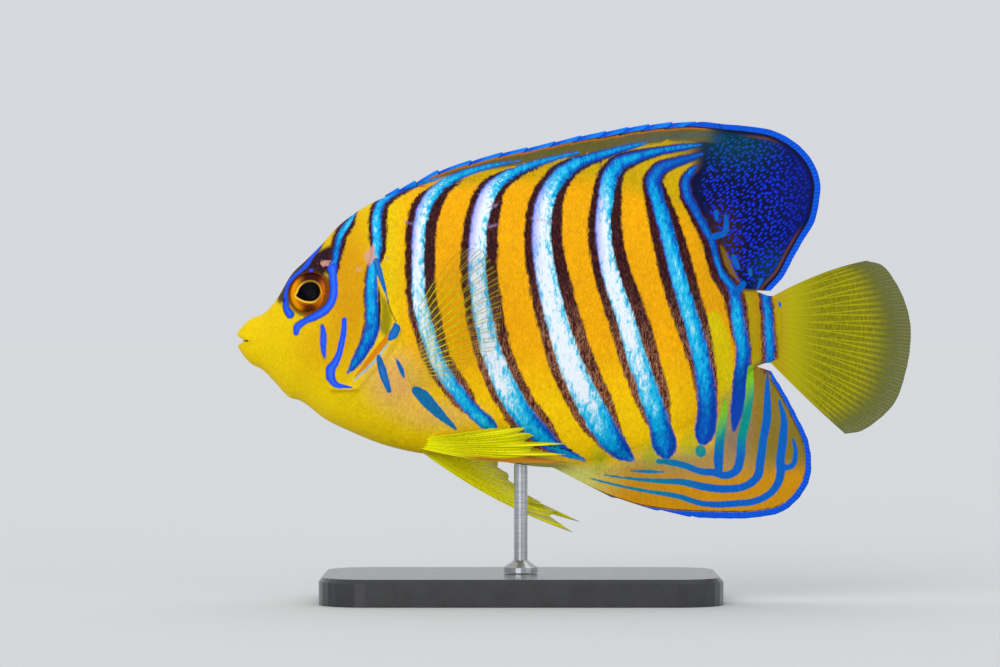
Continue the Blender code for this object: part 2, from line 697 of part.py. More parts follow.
def make_stand(base_material, rod_material, clearance):
    middle = BASE_MIDDLE - TOTAL_LENGTH / 2
    layers = [
        (0, 0.0), (0, BASE_THICKNESS - BASE_CHAMFER), (BASE_CHAMFER, BASE_THICKNESS),
    ]
    points, faces = [], []
    for inset, height in layers:
        outline = rounded_rectangle(
            BASE_LENGTH - 2 * inset, BASE_DEPTH - 2 * inset, BASE_CORNER - inset
        )
        points += [(x + middle, y, height) for x, y in outline]
    count = len(points) // len(layers)
    faces = [list(range(count))[::-1], list(range(2 * count, 3 * count))]
    for k in range(len(layers) - 1):
        for i in range(count):
            a, b = k * count + i, k * count + (i + 1) % count
            faces.append([a, b, b + count, a + count])
    make_object("stand_base", np.array(points) * MM, faces, base_material)

    foot = BASE_THICKNESS + GAP
    top = AXIS_HEIGHT + float(belly_at(BASE_MIDDLE)) + 2.0
    profile = [
        (foot, COLLAR_RADIUS), (foot + COLLAR_HEIGHT * 0.5, COLLAR_RADIUS),
        (foot + COLLAR_HEIGHT, ROD_RADIUS + 0.8), (foot + COLLAR_HEIGHT * 1.2, ROD_RADIUS),
        (top, ROD_RADIUS),
    ]
    line = [(middle, 0, height) for height, _ in profile]
    points, faces = upright_tube(line, [radius for _, radius in profile], 20)
    rod = make_object("stand_rod", np.array(points) * MM, faces, rod_material)
    cut_by(rod, clearance)
    shade_round(rod)


def upright_tube(line, radii, sides):
    """A turned piece on a vertical axis."""
    points, faces = [], []
    for (x, y, z), radius in zip(line, radii):
        for j in range(sides):
            turn = 2 * math.pi * j / sides
            points.append((x + radius * math.cos(turn), y + radius * math.sin(turn), z))
    for i in range(len(line) - 1):
        for j in range(sides):
            a, b = i * sides + j, i * sides + (j + 1) % sides
            faces.append([a, b, b + sides, a + sides])
    faces.append(list(range(sides))[::-1])
    faces.append(list(range((len(line) - 1) * sides, len(line) * sides)))
    return points, faces


def cut_by(obj, cutter):
    """Cuts a copy of the cutter from obj."""
    copy = cutter.copy()
    copy.data = cutter.data.copy()
    bpy.context.scene.collection.objects.link(copy)
    combine(obj, [copy], "DIFFERENCE")


def main():
    for obj in list(bpy.data.objects):
        bpy.data.objects.remove(obj)
    skin = make_material("body_skin", ORANGE, 0.35)
    face = make_material("face_skin", YELLOW, 0.35)
    yellow_fin = make_material("yellow_fin", FIN_YELLOW, 0.4)
    dark_fin = make_material("dark_fin", DEEP_BLUE, 0.4)
    eye = make_material("eye", EYE_BROWN, 0.08)
    make_head(face)
    make_eyes(eye)
    make_body(skin)
    make_tail_fin(yellow_fin)
    clearance = body_clearance()
    grown = make_dorsal_fin(skin, dark_fin)
    grown.append(make_anal_fin(skin))
    grown += make_pectoral_fins(yellow_fin)
    grown += make_pelvic_fins(yellow_fin)
    for piece in grown:
        cut_by(piece, clearance)
        shade_round(piece, 30)
    make_stand(
        make_material("stand_black", STAND_BLACK, 0.3),
        make_material("stand_steel", STEEL, 0.25, 1.0),
        clearance,
    )
    bpy.data.objects.remove(clearance)


main()
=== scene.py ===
"""The looks of the regal angelfish model: one skin with scales, ribbed fins, eyes, stand and studio.

Lengths are in millimetres and scaled to metres when a mesh is made. On the body, s is the distance
behind the tip of the snout, h the height above the long axis, and y the distance to the fish's right.
Markings are laid out on a side view drawing, whose unit is 0.296 mm.
"""

import math

import bmesh
import bpy
import numpy as np
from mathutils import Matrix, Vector
from mathutils.bvhtree import BVHTree

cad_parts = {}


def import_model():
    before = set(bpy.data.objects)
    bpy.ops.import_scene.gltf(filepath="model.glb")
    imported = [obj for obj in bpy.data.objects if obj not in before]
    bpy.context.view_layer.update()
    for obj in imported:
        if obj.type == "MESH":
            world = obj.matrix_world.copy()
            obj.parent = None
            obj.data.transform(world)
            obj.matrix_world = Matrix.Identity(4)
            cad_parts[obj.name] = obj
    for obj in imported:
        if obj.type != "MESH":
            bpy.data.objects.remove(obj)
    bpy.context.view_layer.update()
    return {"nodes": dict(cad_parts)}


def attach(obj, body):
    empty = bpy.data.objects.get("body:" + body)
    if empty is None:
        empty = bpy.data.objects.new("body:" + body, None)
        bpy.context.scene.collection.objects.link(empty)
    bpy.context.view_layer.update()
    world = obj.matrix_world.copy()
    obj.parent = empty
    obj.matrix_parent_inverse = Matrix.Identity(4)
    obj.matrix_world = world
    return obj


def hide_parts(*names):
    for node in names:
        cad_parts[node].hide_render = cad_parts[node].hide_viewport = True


MM = 0.001
TOTAL_LENGTH = 200.0
AXIS_HEIGHT = 80.0
SWAY_START = 110.0
SWAY = 4.0
UNIT = 0.296  # of the side view drawing
DRAWN_SNOUT = (237.0, 330.0)

BACK = [
    (0, -0.9), (1.8, 1.5), (4.4, 3.6), (7.7, 4.9), (11.8, 9.3), (16, 16.4), (20.4, 20.8),
    (24.9, 25.3), (29.3, 30.2), (35.8, 35.3), (45.9, 40.3), (60, 43.5), (78, 45.6),
    (95.6, 46.2), (107.4, 45), (119.3, 42), (131, 36.4), (140, 29), (147.4, 20.1),
    (152.4, 12.8), (156.3, 10.7), (161.3, 10.1),
]
BELLY = [
    (0, -4.7), (1.5, -7.1), (3.8, -9.8), (7.7, -12), (10.7, -15), (15.8, -20.2), (18.1, -20.8),
    (26.3, -26.6), (34.6, -30.6), (42.3, -33.7), (50.5, -35.9), (60, -37.3), (76.7, -38.8),
    (86.4, -40.3), (94.7, -40.8), (104.5, -39.7), (113.4, -37.9), (122.2, -34.9), (131, -30.8),
    (140, -25.2), (147.4, -18.4), (152.4, -12), (155.5, -10.3), (161.3, -10.1),
]
HALF_WIDTH = [
    (0, 1.6), (2, 3.4), (5, 5), (9, 6.3), (14, 8.2), (20, 10.2), (28, 12.2), (38, 13.6),
    (50, 14.2), (65, 14.3), (80, 13.4), (100, 11), (120, 8), (140, 5.2), (152, 3.6), (161.3, 1.8),
]
GILL_EDGE = [
    (0, 27), (0.1, 31), (0.2, 36), (0.3, 41), (0.4, 46.5), (0.46, 48.6), (0.52, 48.2),
    (0.6, 45.5), (0.7, 43), (0.85, 42), (1, 41),
]
CHEEK_EDGE = [(0, 20), (0.15, 28), (0.3, 34), (0.45, 36), (0.6, 35), (0.8, 33), (1, 32)]
BACK_SHARPNESS = 1.12
BELLY_SHARPNESS = 0.95
GILL_RAISE = 0.8
CHEEK_RAISE = 0.4
BODY_END = 161.3

EYE_S, EYE_H, EYE_Y = 22.5, 10.3, 6.4
EYE_RADIUS = 7.0
EYE_DEPTH = 4.5
EYE_AXIS = (-0.22, 1.0, 0.25)
RIM_TUBE = 0.85
RIM_RISE = 2.3
EYE_DRAWN = (311.5, 293.5)  # the middle of the eye as seen from the side
SPINE_ROOT = (28.0, -16.8)
SPINE_LENGTH = 8.0
SPINE_RADIUS = 1.1
NOSTRILS = [(11.4, 6.0, 0.55), (14.2, 8.6, 0.7)]
MOUTH = [
    (4.9, -3.0), (2.1, -2.78), (1.2, -2.42), (0.3, -1.8), (-0.4, -0.9), (-2, -0.9), (-2, -5.2),
    (-0.4, -5.2), (0.3, -4.5), (1.2, -3.9), (2.1, -3.52), (4.9, -3.3),
]
UPPER_LIP = [(0.9, 0, -1.6), (1.2, 1.5, -1.7), (2.2, 2.9, -1.95), (3.6, 4.0, -2.3), (5.2, 4.8, -2.5)]
LOWER_LIP = [(1.1, 0, -4.2), (1.4, 1.5, -4.15), (2.4, 2.9, -3.9), (3.7, 4.0, -3.6), (5.2, 4.8, -3.4)]
LIP_RADIUS = 0.85
LIP_POINTS = 33
SOCKET_GAP = 0.12  # between the eye and the skin

SKIN_INSET = 0.12  # the bare skin lies this far inside the solids, below the scales
SKIN_VOXEL = 0.38
SKIN_RINGS = 230
SKIN_STEPS = 90

SCALE_PITCH = 1.25
SCALE_ROW = 1.3
SCALE_LIFT = 0.045
SCALE_SINK = 0.03
SCALE_REST = 0.03  # of the middle of a scale above the skin
SCALE_DEPTH = 0.25  # of its hidden point below the skin
SCALE_LENGTH = 0.8  # half a scale, as a share of the pitch
SCALE_HEIGHT = 0.64  # half a scale, as a share of the row

FIN_SINK = 2.5  # how deep the roots of the middle fins lie in the body
THIN_EDGE = 0.18  # half the thickness of the middle fins between their rays
DASH_LEAN = math.radians(38)

DORSAL_SPINE_TIPS = [
    (43.8, 40.6), (48, 42.4), (53, 44.5), (60, 47.7), (69.9, 50.6), (79.2, 52.9), (86.6, 54.3),
    (94.9, 56.1), (102.5, 57.8), (109.9, 59.1), (116.5, 60.3), (122.6, 61.1), (129.5, 61.7),
    (136.4, 61.8),
]
DORSAL_SOFT_EDGE = [
    (137.6, 61.7), (144, 61), (151.4, 60.4), (159, 59.1), (164.2, 56.5), (168.1, 53.3),
    (171.3, 48.8), (172.9, 43.7), (172.5, 37.9), (170.9, 31.5), (168.1, 27), (164.8, 21.3),
    (161.6, 15.5), (158, 11.6),
]
DORSAL_START, DORSAL_JOIN, DORSAL_END = 42.8, 111.0, 151.8
DORSAL_SOFT_RAYS = 18
ANAL_SPINE_TIPS = [(111, -49.6), (124.1, -53.4), (134, -55.3)]
ANAL_EDGE = [
    (137, -55.6), (143.2, -55.8), (153.8, -55.5), (161.7, -53.7), (167, -49), (169.6, -44.2),
    (170.1, -38.9), (169.1, -32.6), (165.9, -25.7), (161.7, -17.8), (158.2, -12.2),
]
ANAL_START, ANAL_JOIN, ANAL_END = 88.0, 106.0, 152.6
DORSAL_MARGIN = [(42, 39), *DORSAL_SPINE_TIPS, *DORSAL_SOFT_EDGE[:5]]
ANAL_MARGIN = [(88, -40.4), *ANAL_SPINE_TIPS, *ANAL_EDGE[:5]]
ANAL_SOFT_RAYS = 17
TAIL_EDGE = [
    (186.5, 20.6), (191.2, 19.3), (195, 14.8), (198.2, 8.4), (200, 0.7), (199.8, -5.7),
    (198.2, -13.4), (195, -21.8), (189.9, -26.9), (184.7, -30.1), (180.2, -30.8),
]
TAIL_RAYS = 17
PECTORAL_ROOT = (50.3, -9.8)
PECTORAL_ROOT_LINE = [(-1.2, 6.2), (1.6, -6.6)]
PECTORAL_EDGE = [
    (15.8, 33.4), (22.2, 33.3), (26.4, 27), (28.4, 18.9), (28.3, 11.5), (26.2, 4.6), (19.4, -0.6),
    (11.6, -5), (6, -7),
]
PECTORAL_BOW = 2.6
PECTORAL_RAYS = 19
PECTORAL_SPREAD = 26.0
PECTORAL_CURL = 4.0
PELVIC_LEFT = [
    ((50.8, -2.6, -33.6), (73, -7.4, -38.2), (97.6, -10.6, -38.9)),
    ((51.4, -3.1, -33.4), (73.5, -8.6, -36.2), (97.3, -11.4, -36.6)),
    ((52, -3.6, -33.0), (73, -9.8, -34.2), (97.4, -12.4, -33.3)),
    ((52.8, -4.0, -32.6), (70, -10.6, -32.4), (86.5, -13.2, -30.3)),
    ((53.6, -4.5, -32.2), (68, -11.2, -31.0), (84.7, -13.6, -28.6)),
    ((54.6, -5.0, -31.8), (64, -11.0, -30.6), (75, -13.4, -28.8)),
]
PELVIC_RIGHT = [
    ((50.8, 2.6, -33.2), (74.5, 7.2, -49.2), (99.6, 10.2, -60.4)),
    ((51.5, 2.8, -33.2), (75.2, 7.3, -47.8), (101.6, 10.6, -57.2)),
    ((52.2, 3.0, -33.2), (71.4, 7.4, -45.4), (90.8, 10.2, -53.4)),
    ((52.9, 3.1, -33.2), (71.0, 7.5, -44.2), (90.0, 10.6, -51.4)),
    ((53.6, 3.2, -33.2), (69.0, 7.5, -42.4), (84.6, 10.4, -48.3)),
    ((54.3, 3.3, -33.2), (68.4, 7.5, -41.2), (83.0, 10.5, -46.4)),
    ((55.1, 3.5, -33.2), (67.6, 7.4, -39.4), (80.2, 10.3, -42.8)),
    ((56.0, 3.7, -33.2), (66.6, 7.2, -37.5), (77.0, 9.8, -38.6)),
]
# How far the skin on each side of a gap between two rays ends short of their tips.
ANAL_CLEFTS = {0: (1.7, 0.2), 1: (1.6, 0.2), 2: (0.8, 0.1)}
PELVIC_CLEFTS_LEFT = {0: (11, 11), 1: (11, 11), 2: (11, 1)}
PELVIC_CLEFTS_RIGHT = {0: (9, 9), 1: (11, 1)}

# Pale bands, each from its lower end up and back, as (x, y, half width, whiteness) in the drawing.
BANDS = [
    [
        (356, 211, 1.2, 0.2), (349, 223, 3.2, 0.35), (341, 236, 3.4, 0.3), (338, 248, 3.4, 0.15),
        (336, 260, 3.8, 0.05), (333.6, 271, 4.4, 0),
    ],
    [
        (349, 373, 1.2, 0), (354.5, 366, 4, 0), (361, 356, 6, 0.02), (368.5, 342.5, 7, 0.04),
        (373.5, 329, 8, 0.1), (374, 319, 7.5, 0.15), (373.5, 303, 7, 0.2), (373, 286, 6.5, 0.25),
        (374.3, 270, 5.2, 0.3), (377.6, 256, 4.6, 0.36), (378, 245, 4.8, 0.4), (377.6, 230, 5, 0.4),
        (378, 215, 5, 0.35), (382.6, 202, 4.5, 0.25), (396, 192.4, 3.5, 0.15),
        (421, 183.3, 2.6, 0.1), (440, 178, 1.2, 0.1),
    ],
    [
        (494, 429, 4, 0.2), (491.5, 426, 6, 0.25), (472.6, 409.6, 7.5, 0.3), (455.4, 388, 7.5, 0.45),
        (441, 367, 7.5, 0.7), (432.5, 346, 7.5, 0.75), (425.7, 322, 7.8, 0.8), (420, 299, 7, 0.9),
        (418.8, 275, 6.5, 0.95), (418.8, 251.5, 6.5, 0.9), (420, 228, 6.7, 0.85),
        (424.7, 209, 7.2, 0.75), (431, 197, 6.5, 0.6), (442, 185, 5.5, 0.45),
        (458.5, 176, 4.5, 0.3), (481, 168.5, 3.2, 0.2), (502, 163.8, 2.2, 0.1), (520, 161, 1, 0.1),
    ],
    [
        (585, 460, 1.5, 0.15), (562, 450, 6, 0.15), (539, 433, 11, 0.25), (521, 412, 11, 0.45),
        (504.5, 384, 11, 0.85), (492.7, 355, 10, 0.95), (485, 327, 10, 0.9), (480.4, 299, 9.5, 0.85),
        (477.3, 275, 9, 0.9), (477.3, 251.5, 9, 0.95), (479, 228, 8.5, 1), (482.8, 209, 8.5, 1),
        (488, 195, 8.2, 0.85), (496, 184.3, 7, 0.6), (509, 175, 5.5, 0.4), (530, 165.4, 4, 0.25),
        (554, 158.4, 3, 0.15), (577.6, 152.5, 1.6, 0.1),
    ],
    [
        (634, 461, 1.5, 0.05), (620, 450, 10, 0.1), (601, 424, 13, 0.5), (583.5, 393, 13, 0.85),
        (570.5, 365, 12.5, 1), (561, 336.5, 11.5, 1), (552.8, 308, 11, 1), (546.5, 280, 10.5, 1),
        (541.7, 251.5, 10, 1), (541, 228, 9.5, 1), (543.4, 207, 9.5, 0.9), (550.5, 189, 8.5, 0.6),
        (561, 175, 8, 0.4), (577.6, 163, 6, 0.25), (601, 155, 4.5, 0.15), (625, 148, 3.3, 0.1),
        (646, 143, 1.6, 0.1),
    ],
    [
        (666, 457, 3, 0), (665, 447, 11.5, 0.05), (659, 424, 11, 0.25), (648.4, 393, 10.5, 0.6),
        (636.6, 360, 10, 0.75), (627, 327, 9.5, 0.9), (616.5, 296, 9, 1), (608.3, 270, 8.5, 1),
        (603.5, 244.5, 8, 1), (602.4, 221, 8, 0.9), (605.4, 197, 8, 0.6), (609.4, 178, 8, 0.4),
        (617.7, 165, 7.5, 0.25), (636.6, 157, 5.5, 0.15), (660, 151, 4, 0.1),
        (684, 147, 3.3, 0.05), (701, 145, 1.4, 0.05),
    ],
    [
        (703, 441, 5, -0.1), (704, 436, 9, -0.1), (707, 412, 10, 0), (704, 376.6, 9.5, 0.24),
        (696.7, 343.5, 9, 0.4), (687.3, 310.5, 8.5, 0.46), (678, 280, 8, 0.48),
        (670.8, 251.5, 8, 0.42), (663.7, 223, 8, 0.34), (656.6, 197, 7.5, 0.2),
        (653, 181, 7.5, 0.1), (659, 170, 6.5, 0), (674, 163, 5, -0.05), (688.5, 158.4, 4, -0.1),
        (702, 154, 1.8, 0),
    ],
    [
        (734, 430, 2, -0.3), (736, 417, 5.5, -0.3), (739, 397, 8, -0.25), (741, 373.6, 8, -0.05),
        (743, 352, 7.6, 0.15), (739, 332, 7.4, 0.3), (736, 307, 6.6, 0.24), (733, 290.7, 5.4, 0.05),
        (723, 276, 4, 0.1), (715.6, 257.6, 3.6, 0.05), (711.5, 241, 4, 0), (704.8, 227.7, 4.4, 0),
        (695, 209.5, 4.5, 0), (686.6, 193, 5, 0), (685.8, 179.6, 4.4, 0), (693, 169.7, 3.2, 0),
        (697, 166, 1.5, 0),
    ],
    [(769.5, 367, 5.2, 0.1), (769.7, 350, 5.6, 0.12), (768.6, 325, 5.4, 0.15), (766, 296, 5, 0.05)],
]
# Widths of the dark edges before and behind each band, as (share of its length, width).
FRONT_BORDER = [
    [(0, 1), (0.3, 4), (1, 2.5)],
    [(0, 0.8), (0.35, 1.2), (0.5, 1.8), (0.62, 3.5), (0.75, 3.5), (0.88, 2), (1, 0.4)],
    [(0, 0.5), (0.08, 3), (0.25, 5), (0.5, 6), (0.72, 6), (0.82, 3.4), (0.9, 1.4), (1, 0)],
    [(0, 0.5), (0.08, 4), (0.25, 6), (0.5, 7), (0.7, 6.5), (0.8, 4), (0.88, 2), (0.95, 0.8), (1, 0)],
    [(0, 0.5), (0.06, 4), (0.15, 6.5), (0.5, 8), (0.68, 6.5), (0.79, 4), (0.87, 2), (0.95, 0.8), (1, 0)],
    [(0, 0.3), (0.05, 1.5), (0.15, 5), (0.5, 8), (0.68, 6), (0.78, 3.4), (0.87, 1.6), (1, 0.3)],
    [(0, -1), (0.08, -0.5), (0.22, 4), (0.5, 9.5), (0.68, 8), (0.8, 4), (0.88, 1.8), (1, 0.5)],
    [(0, -1), (0.25, -0.5), (0.4, 3), (0.5, 7), (0.6, 7.5), (0.75, 5.5), (0.88, 3), (1, 0.5)],
    [(0, 3), (1, 3)],
]
REAR_BORDER = [
    [(0, 4.5), (0.5, 4), (1, 2)],
    [(0, -1), (0.45, -0.6), (0.52, 4), (0.62, 5.5), (0.75, 4.5), (0.88, 2), (1, 0.4)],
    [(0, 0.5), (0.08, 4), (0.3, 8), (0.6, 11), (0.72, 8.5), (0.82, 3.6), (0.9, 1.4), (1, 0)],
    [(0, 0.5), (0.08, 5), (0.3, 9), (0.55, 11.5), (0.7, 10.5), (0.8, 5), (0.88, 2.2), (0.95, 0.8), (1, 0)],
    [(0, 0.5), (0.06, 4), (0.2, 10), (0.5, 12.5), (0.68, 10), (0.79, 4.5), (0.87, 2.2), (0.95, 0.8), (1, 0)],
    [(0, 0.3), (0.05, 1.5), (0.15, 8), (0.5, 12.5), (0.68, 9), (0.78, 3.6), (0.87, 1.6), (1, 0.3)],
    [(0, -1), (0.08, -0.5), (0.22, 3.5), (0.5, 9.5), (0.68, 7.5), (0.8, 3.5), (0.88, 1.6), (1, 0.5)],
    [(0, -1), (0.2, -0.5), (0.32, 1.5), (0.42, 4), (0.5, 3.5), (0.7, 1.5), (1, 0.5)],
    [(0, 2.4), (1, 1.4)],
]

BLUNT_END = 2.5  # how far the dark border falls short at the lower end of a long band

# Blue lines: face first, then the rear fins, as (x, y, half width) in the drawing.
FACE_LINES = [
    [
        (333.6, 268, 4.4), (334.6, 277, 4.1), (335.3, 286, 3.8), (334.5, 299, 3.8), (328, 309.3, 3.8),
        (318, 316, 3.5), (306, 321.7, 3), (299, 327.5, 3.5), (297.7, 333, 2.5),
    ],
    [
        (320.4, 247, 1.4), (313, 256, 2), (307, 265.4, 2.3), (299.7, 272.8, 2), (292, 279.5, 2.2),
        (288, 287.7, 2), (287, 299.4, 2.5), (288, 309.3, 3.2), (291.4, 314.3, 3.8),
    ],
    [(324, 326, 1.6), (325.3, 336, 3.2), (325, 346, 3), (326.2, 358, 1)],
    [
        (346, 320, 2.6), (344.8, 336, 3), (342, 349, 3.2), (337.8, 360.7, 3.6), (332, 370.7, 4.8),
        (333.6, 380, 4), (338, 384.5, 3), (346, 386, 2), (354, 387, 0.6),
    ],
    [(311.5, 271.2, 1.7), (313, 270.8, 1.7)],
]
FLAP_LINES = [
    [(396.5, 324.5, 2), (397.5, 329, 4.2), (395, 334, 4.8), (391.5, 338.5, 2.5)],
    [(377.5, 262, 3.4), (380.5, 272, 3.2), (384, 283, 2.4), (387.5, 294, 1.4), (389.5, 303, 0.5)],
    [(417, 390, 4.5), (423, 395, 6.4), (430.3, 403, 6.4), (440.3, 413.5, 4.8), (456, 428, 1.6)],
    [(380, 356, 2), (381.5, 362, 3.4), (384.2, 372, 4.2), (390, 390, 2.6)],
    [(397, 358, 1), (401.6, 367.4, 2.6), (405.5, 378.5, 1)],
]
GILL_DARK = [
    [(380, 288, 0.7), (381, 308, 1.2), (380.5, 326, 0.8)],
    [(388.5, 300, 0.4), (392, 311, 0.7), (397.5, 322, 0.5)],
]
# Dark lines: the gill cover's, painted shade in the mouth's slit, and short ones by the tail and fins.
DARK_LINES = GILL_DARK + [
    [(242, 340.5, 0.8), (247, 340.8, 0.9), (252.5, 341, 0.5)], [(781, 361, 0.6), (781.5, 366, 1.4)],
    [(530, 441, 0.8), (572, 450, 1)], [(718.5, 123, 0.7), (721, 127.5, 0.8)],
]
GILL_PATCH = [[(381, 293, 0.8), (386, 305, 3.5), (387.5, 318, 5.5), (386.5, 328, 5.5), (388, 334, 3)]]
GILL_BAR = [[(391, 335, 2.4), (384, 344, 3.2), (374, 356, 3), (365, 367, 2.2), (357, 376, 1)]]
GILL_GLINT = [[(389.5, 343.5, 0.7), (376, 361, 1), (361, 375, 0.8), (355, 380.5, 0.4)]]
SCRATCHES = [
    [(489, 208, 0.9), (497, 206, 0.9)], [(488, 228, 1.2), (497, 226, 0.8)],
    [(530, 219, 0.6), (541, 221, 0.8), (552, 222, 0.7)], [(405, 222, 0.6), (414, 225, 0.7)],
]
DORSAL_LINES = [
    [(714, 236.5, 3.4), (724.7, 232.7, 3), (726.4, 222.7, 2.6), (725.6, 216, 1.8)],
    [(716.8, 219, 2), (716.4, 212, 2.6)],
    [(735, 293, 4), (743, 284, 3.6)],
    [(733.5, 256, 2), (735.5, 262.5, 3.4), (738, 268, 2.2)],
    [(750.4, 270, 2.2), (750.6, 274, 2.4)],
    [(758, 288, 1.4), (761.5, 280, 2)],
]
ANAL_LINES = [
    [
        (724.6, 398, 0.8), (724.4, 407, 3), (723, 418, 4.3), (721.5, 427, 4.8), (719.5, 444, 4.8),
        (718.5, 463, 4.8), (719, 470, 4),
    ],
    [
        (658, 461, 2.6), (672, 462.5, 3.4), (685, 465.6, 3.4), (701.5, 471.5, 3.4), (715.7, 472.8, 4),
        (725, 475.6, 3.8), (735.7, 471, 4.4), (740.4, 458.5, 4.6), (741.6, 439.6, 4.6),
        (746, 418.4, 4.6), (749.5, 397, 4.4), (750.3, 380, 4), (750.5, 368, 3),
    ],
    [
        (767.5, 374, 1.5), (767.5, 397, 3.4), (767, 418.4, 4.4), (763.3, 439.6, 4.4),
        (760.5, 461, 4.4), (757, 477.4, 4.4), (746.3, 485.6, 4), (725, 489, 4), (704, 486.8, 4),
        (682.6, 482, 3.4), (659, 481, 2.6), (631, 478.5, 1.6), (604.8, 475, 1),
    ],
    [
        (779.3, 400.7, 1.5), (784, 418.4, 3.4), (783, 439.6, 4.4), (780.5, 461, 4.4),
        (780.5, 476, 4.4), (772.3, 491.5, 3.8), (755.8, 501, 3.6), (734.5, 503.5, 3.5),
        (720.4, 504.5, 3.4), (701.5, 503.3, 3), (678, 496.2, 2.8), (649.6, 491.5, 2),
        (619, 485.6, 1.5), (590.7, 478.5, 0.9),
    ],
    [(793.5, 439.6, 1.5), (795.8, 453.8, 2.5), (792.3, 465.6, 3), (784, 468.5, 3)],
    [(631, 471, 1), (648, 471.5, 2), (664, 472, 1)],
    [(700.3, 450, 5.4), (700.8, 452, 5.4)],
    [(780.6, 298.5, 2.6), (781.4, 305, 2.8)],
]
MASK_EDGE = [[(322, 243, 2), (308, 257, 6), (294, 274, 7), (284, 290, 7), (281, 300, 3)]]
MASK_LINE = [[(330, 250, 3), (325, 259, 9), (316, 268, 11), (305, 279, 8), (299, 286, 3)]]
REAR_ARC = [[(721, 246, 1), (726, 258, 3.4), (731, 272, 3.4), (738, 281, 1.5)]]
# The pupil from its round rear end to its tip in front, from the middle of the eye.
PUPIL_LINE = [(0.8, -1.5, 9.6), (0.4, -1.5, 9.6), (-8, 1.2, 4.6), (-13.2, 2.5, 0.6)]
LIME_SPOTS = [(599, 457), (651, 453), (689, 444)]
YELLOW_LINES = [
    [(713, 318, 6), (717, 335, 10), (721, 352, 9), (725, 373, 8), (726, 390, 7), (725, 404, 5)],
    [(748, 296, 3.5), (749.5, 315, 5), (751.5, 335, 5.5), (754.5, 352, 4.5), (756, 364, 4)],
    [(753, 368.5, 2), (764, 368.5, 2.6), (769.5, 378, 2.4), (775, 390, 1.6)],
    [(778.5, 298, 3), (779.5, 330, 4), (778.5, 364, 3)],
]

# Colours as they look on a screen, from 0 to 255.
ORANGE = (244, 172, 0)
LOW_ORANGE = (250, 202, 0)
REAR_ORANGE = (216, 152, 0)
STRIPE_YELLOW = (214, 190, 0)
FACE_YELLOW = (234, 198, 0)
CHEEK_ORANGE = (214, 152, 0)
PEACH = (226, 172, 96)
BELLY_GREEN = (204, 204, 106)
FIN_OLIVE = (99, 92, 42)
FIN_GREY = (78, 92, 96)
NAVY = (2, 8, 58)
SOFT_BLUE = (2, 16, 92)
TEAL_DARK = (0, 52, 74)
EARTH = (58, 34, 22)
OCHRE = (198, 136, 4)
REAR_OLIVE = (132, 112, 34)
ARC_OCHRE = (140, 106, 0)
FIN_YELLOW = (204, 166, 0)
ANAL_GREY = (160, 138, 84)
LIME = (140, 180, 30)
ANAL_SHADE = (116, 110, 104)
STALK_YELLOW = (158, 130, 6)
TAIL_YELLOW = (176, 160, 4)
GILL_OLIVE = (116, 112, 0)
GILL_ORANGE = (216, 130, 0)
GILL_BLUE = (130, 186, 214)
MASK = (40, 10, 28)
MASK_OLIVE = (54, 36, 16)
EYE_EDGE = (120, 62, 6)
FIN_LINE = (186, 104, 8)
RUST = (112, 58, 26)
SCAR = (214, 158, 140)
FACE_BLUE = (16, 78, 232)
REAR_BLUE = (0, 92, 184)
EDGE_BLUE = (0, 96, 226)
FLAG_BLUE = (0, 128, 246)
GILL_TEAL = (4, 100, 176)
BREAST_TEAL = (20, 112, 168)
LINE_TEAL = (0, 138, 128)
LINE_LIME = (126, 196, 30)
LINE_RIM = (58, 24, 44)
LINE_CORE = (84, 146, 248)
BORDER_BLUE = (14, 40, 78)
HAIR = (190, 132, 100)
# Dark lines, and the painted shade in the mouth's slit.
DARK_MARK_AND_SHADE = (22, 8, 18)
SCRATCH = (168, 128, 176)
LAVENDER = (146, 140, 240)
BAND_VIOLET = (70, 50, 190)
FLAG_SHADE = (0, 60, 200)
# Painted shade between the ray branches of a fin's blue border.
EDGE_SHADE = (0, 52, 186)
DASH_BLUE = (16, 44, 220)
FIN_DASH = (10, 48, 214)
DIM_DASH = (0, 78, 132)
FIN_RIM = (94, 98, 40)
FIN_WARM = (186, 108, 26)
EYE_BROWN = (150, 72, 0)
EYE_GOLD = (226, 132, 4)
EYE_FRONT = (238, 150, 0)
EYE_REAR = (222, 110, 20)
EYE_RED = (238, 76, 40)
EYE_TOP = (46, 8, 22)
EYE_LOW = (70, 24, 4)
EYE_RIM = (104, 76, 14)
PUPIL_RING = (250, 200, 60)
PUPIL = (1, 1, 6)
FLOOR_GREY = (208, 210, 211)
# Tones from dark to bright, as (share, colour).
HIGH_BORDER = [(0.3, (24, 4, 14)), (0.5, (52, 16, 24)), (0.66, (92, 42, 30))]
LOW_BORDER = [(0.3, (52, 20, 14)), (0.5, (98, 46, 22)), (0.66, (158, 92, 34))]
BAND_TONES = [
    (0.0, (0, 62, 168)), (0.18, (0, 96, 190)), (0.3, (0, 142, 214)), (0.44, (0, 178, 230)),
    (0.6, (66, 202, 238)), (0.74, (172, 226, 248)), (0.9, (240, 248, 255)),
]
LACQUER = [(0.3, (26, 26, 28)), (0.7, (36, 36, 39))]
STEEL = [(0.3, (150, 152, 156)), (0.7, (196, 198, 202))]

PHOTO_WIDTH, PHOTO_HEIGHT = 1000, 667
CAMERA_DISTANCE = 1.2
SENSOR = 36
FLOOR_REACH = 30.0


def linear(colour):
    """A screen colour as linear light."""
    c = np.asarray(colour, float) / 255
    return np.where(c <= 0.04045, c / 12.92, ((c + 0.055) / 1.055) ** 2.4)


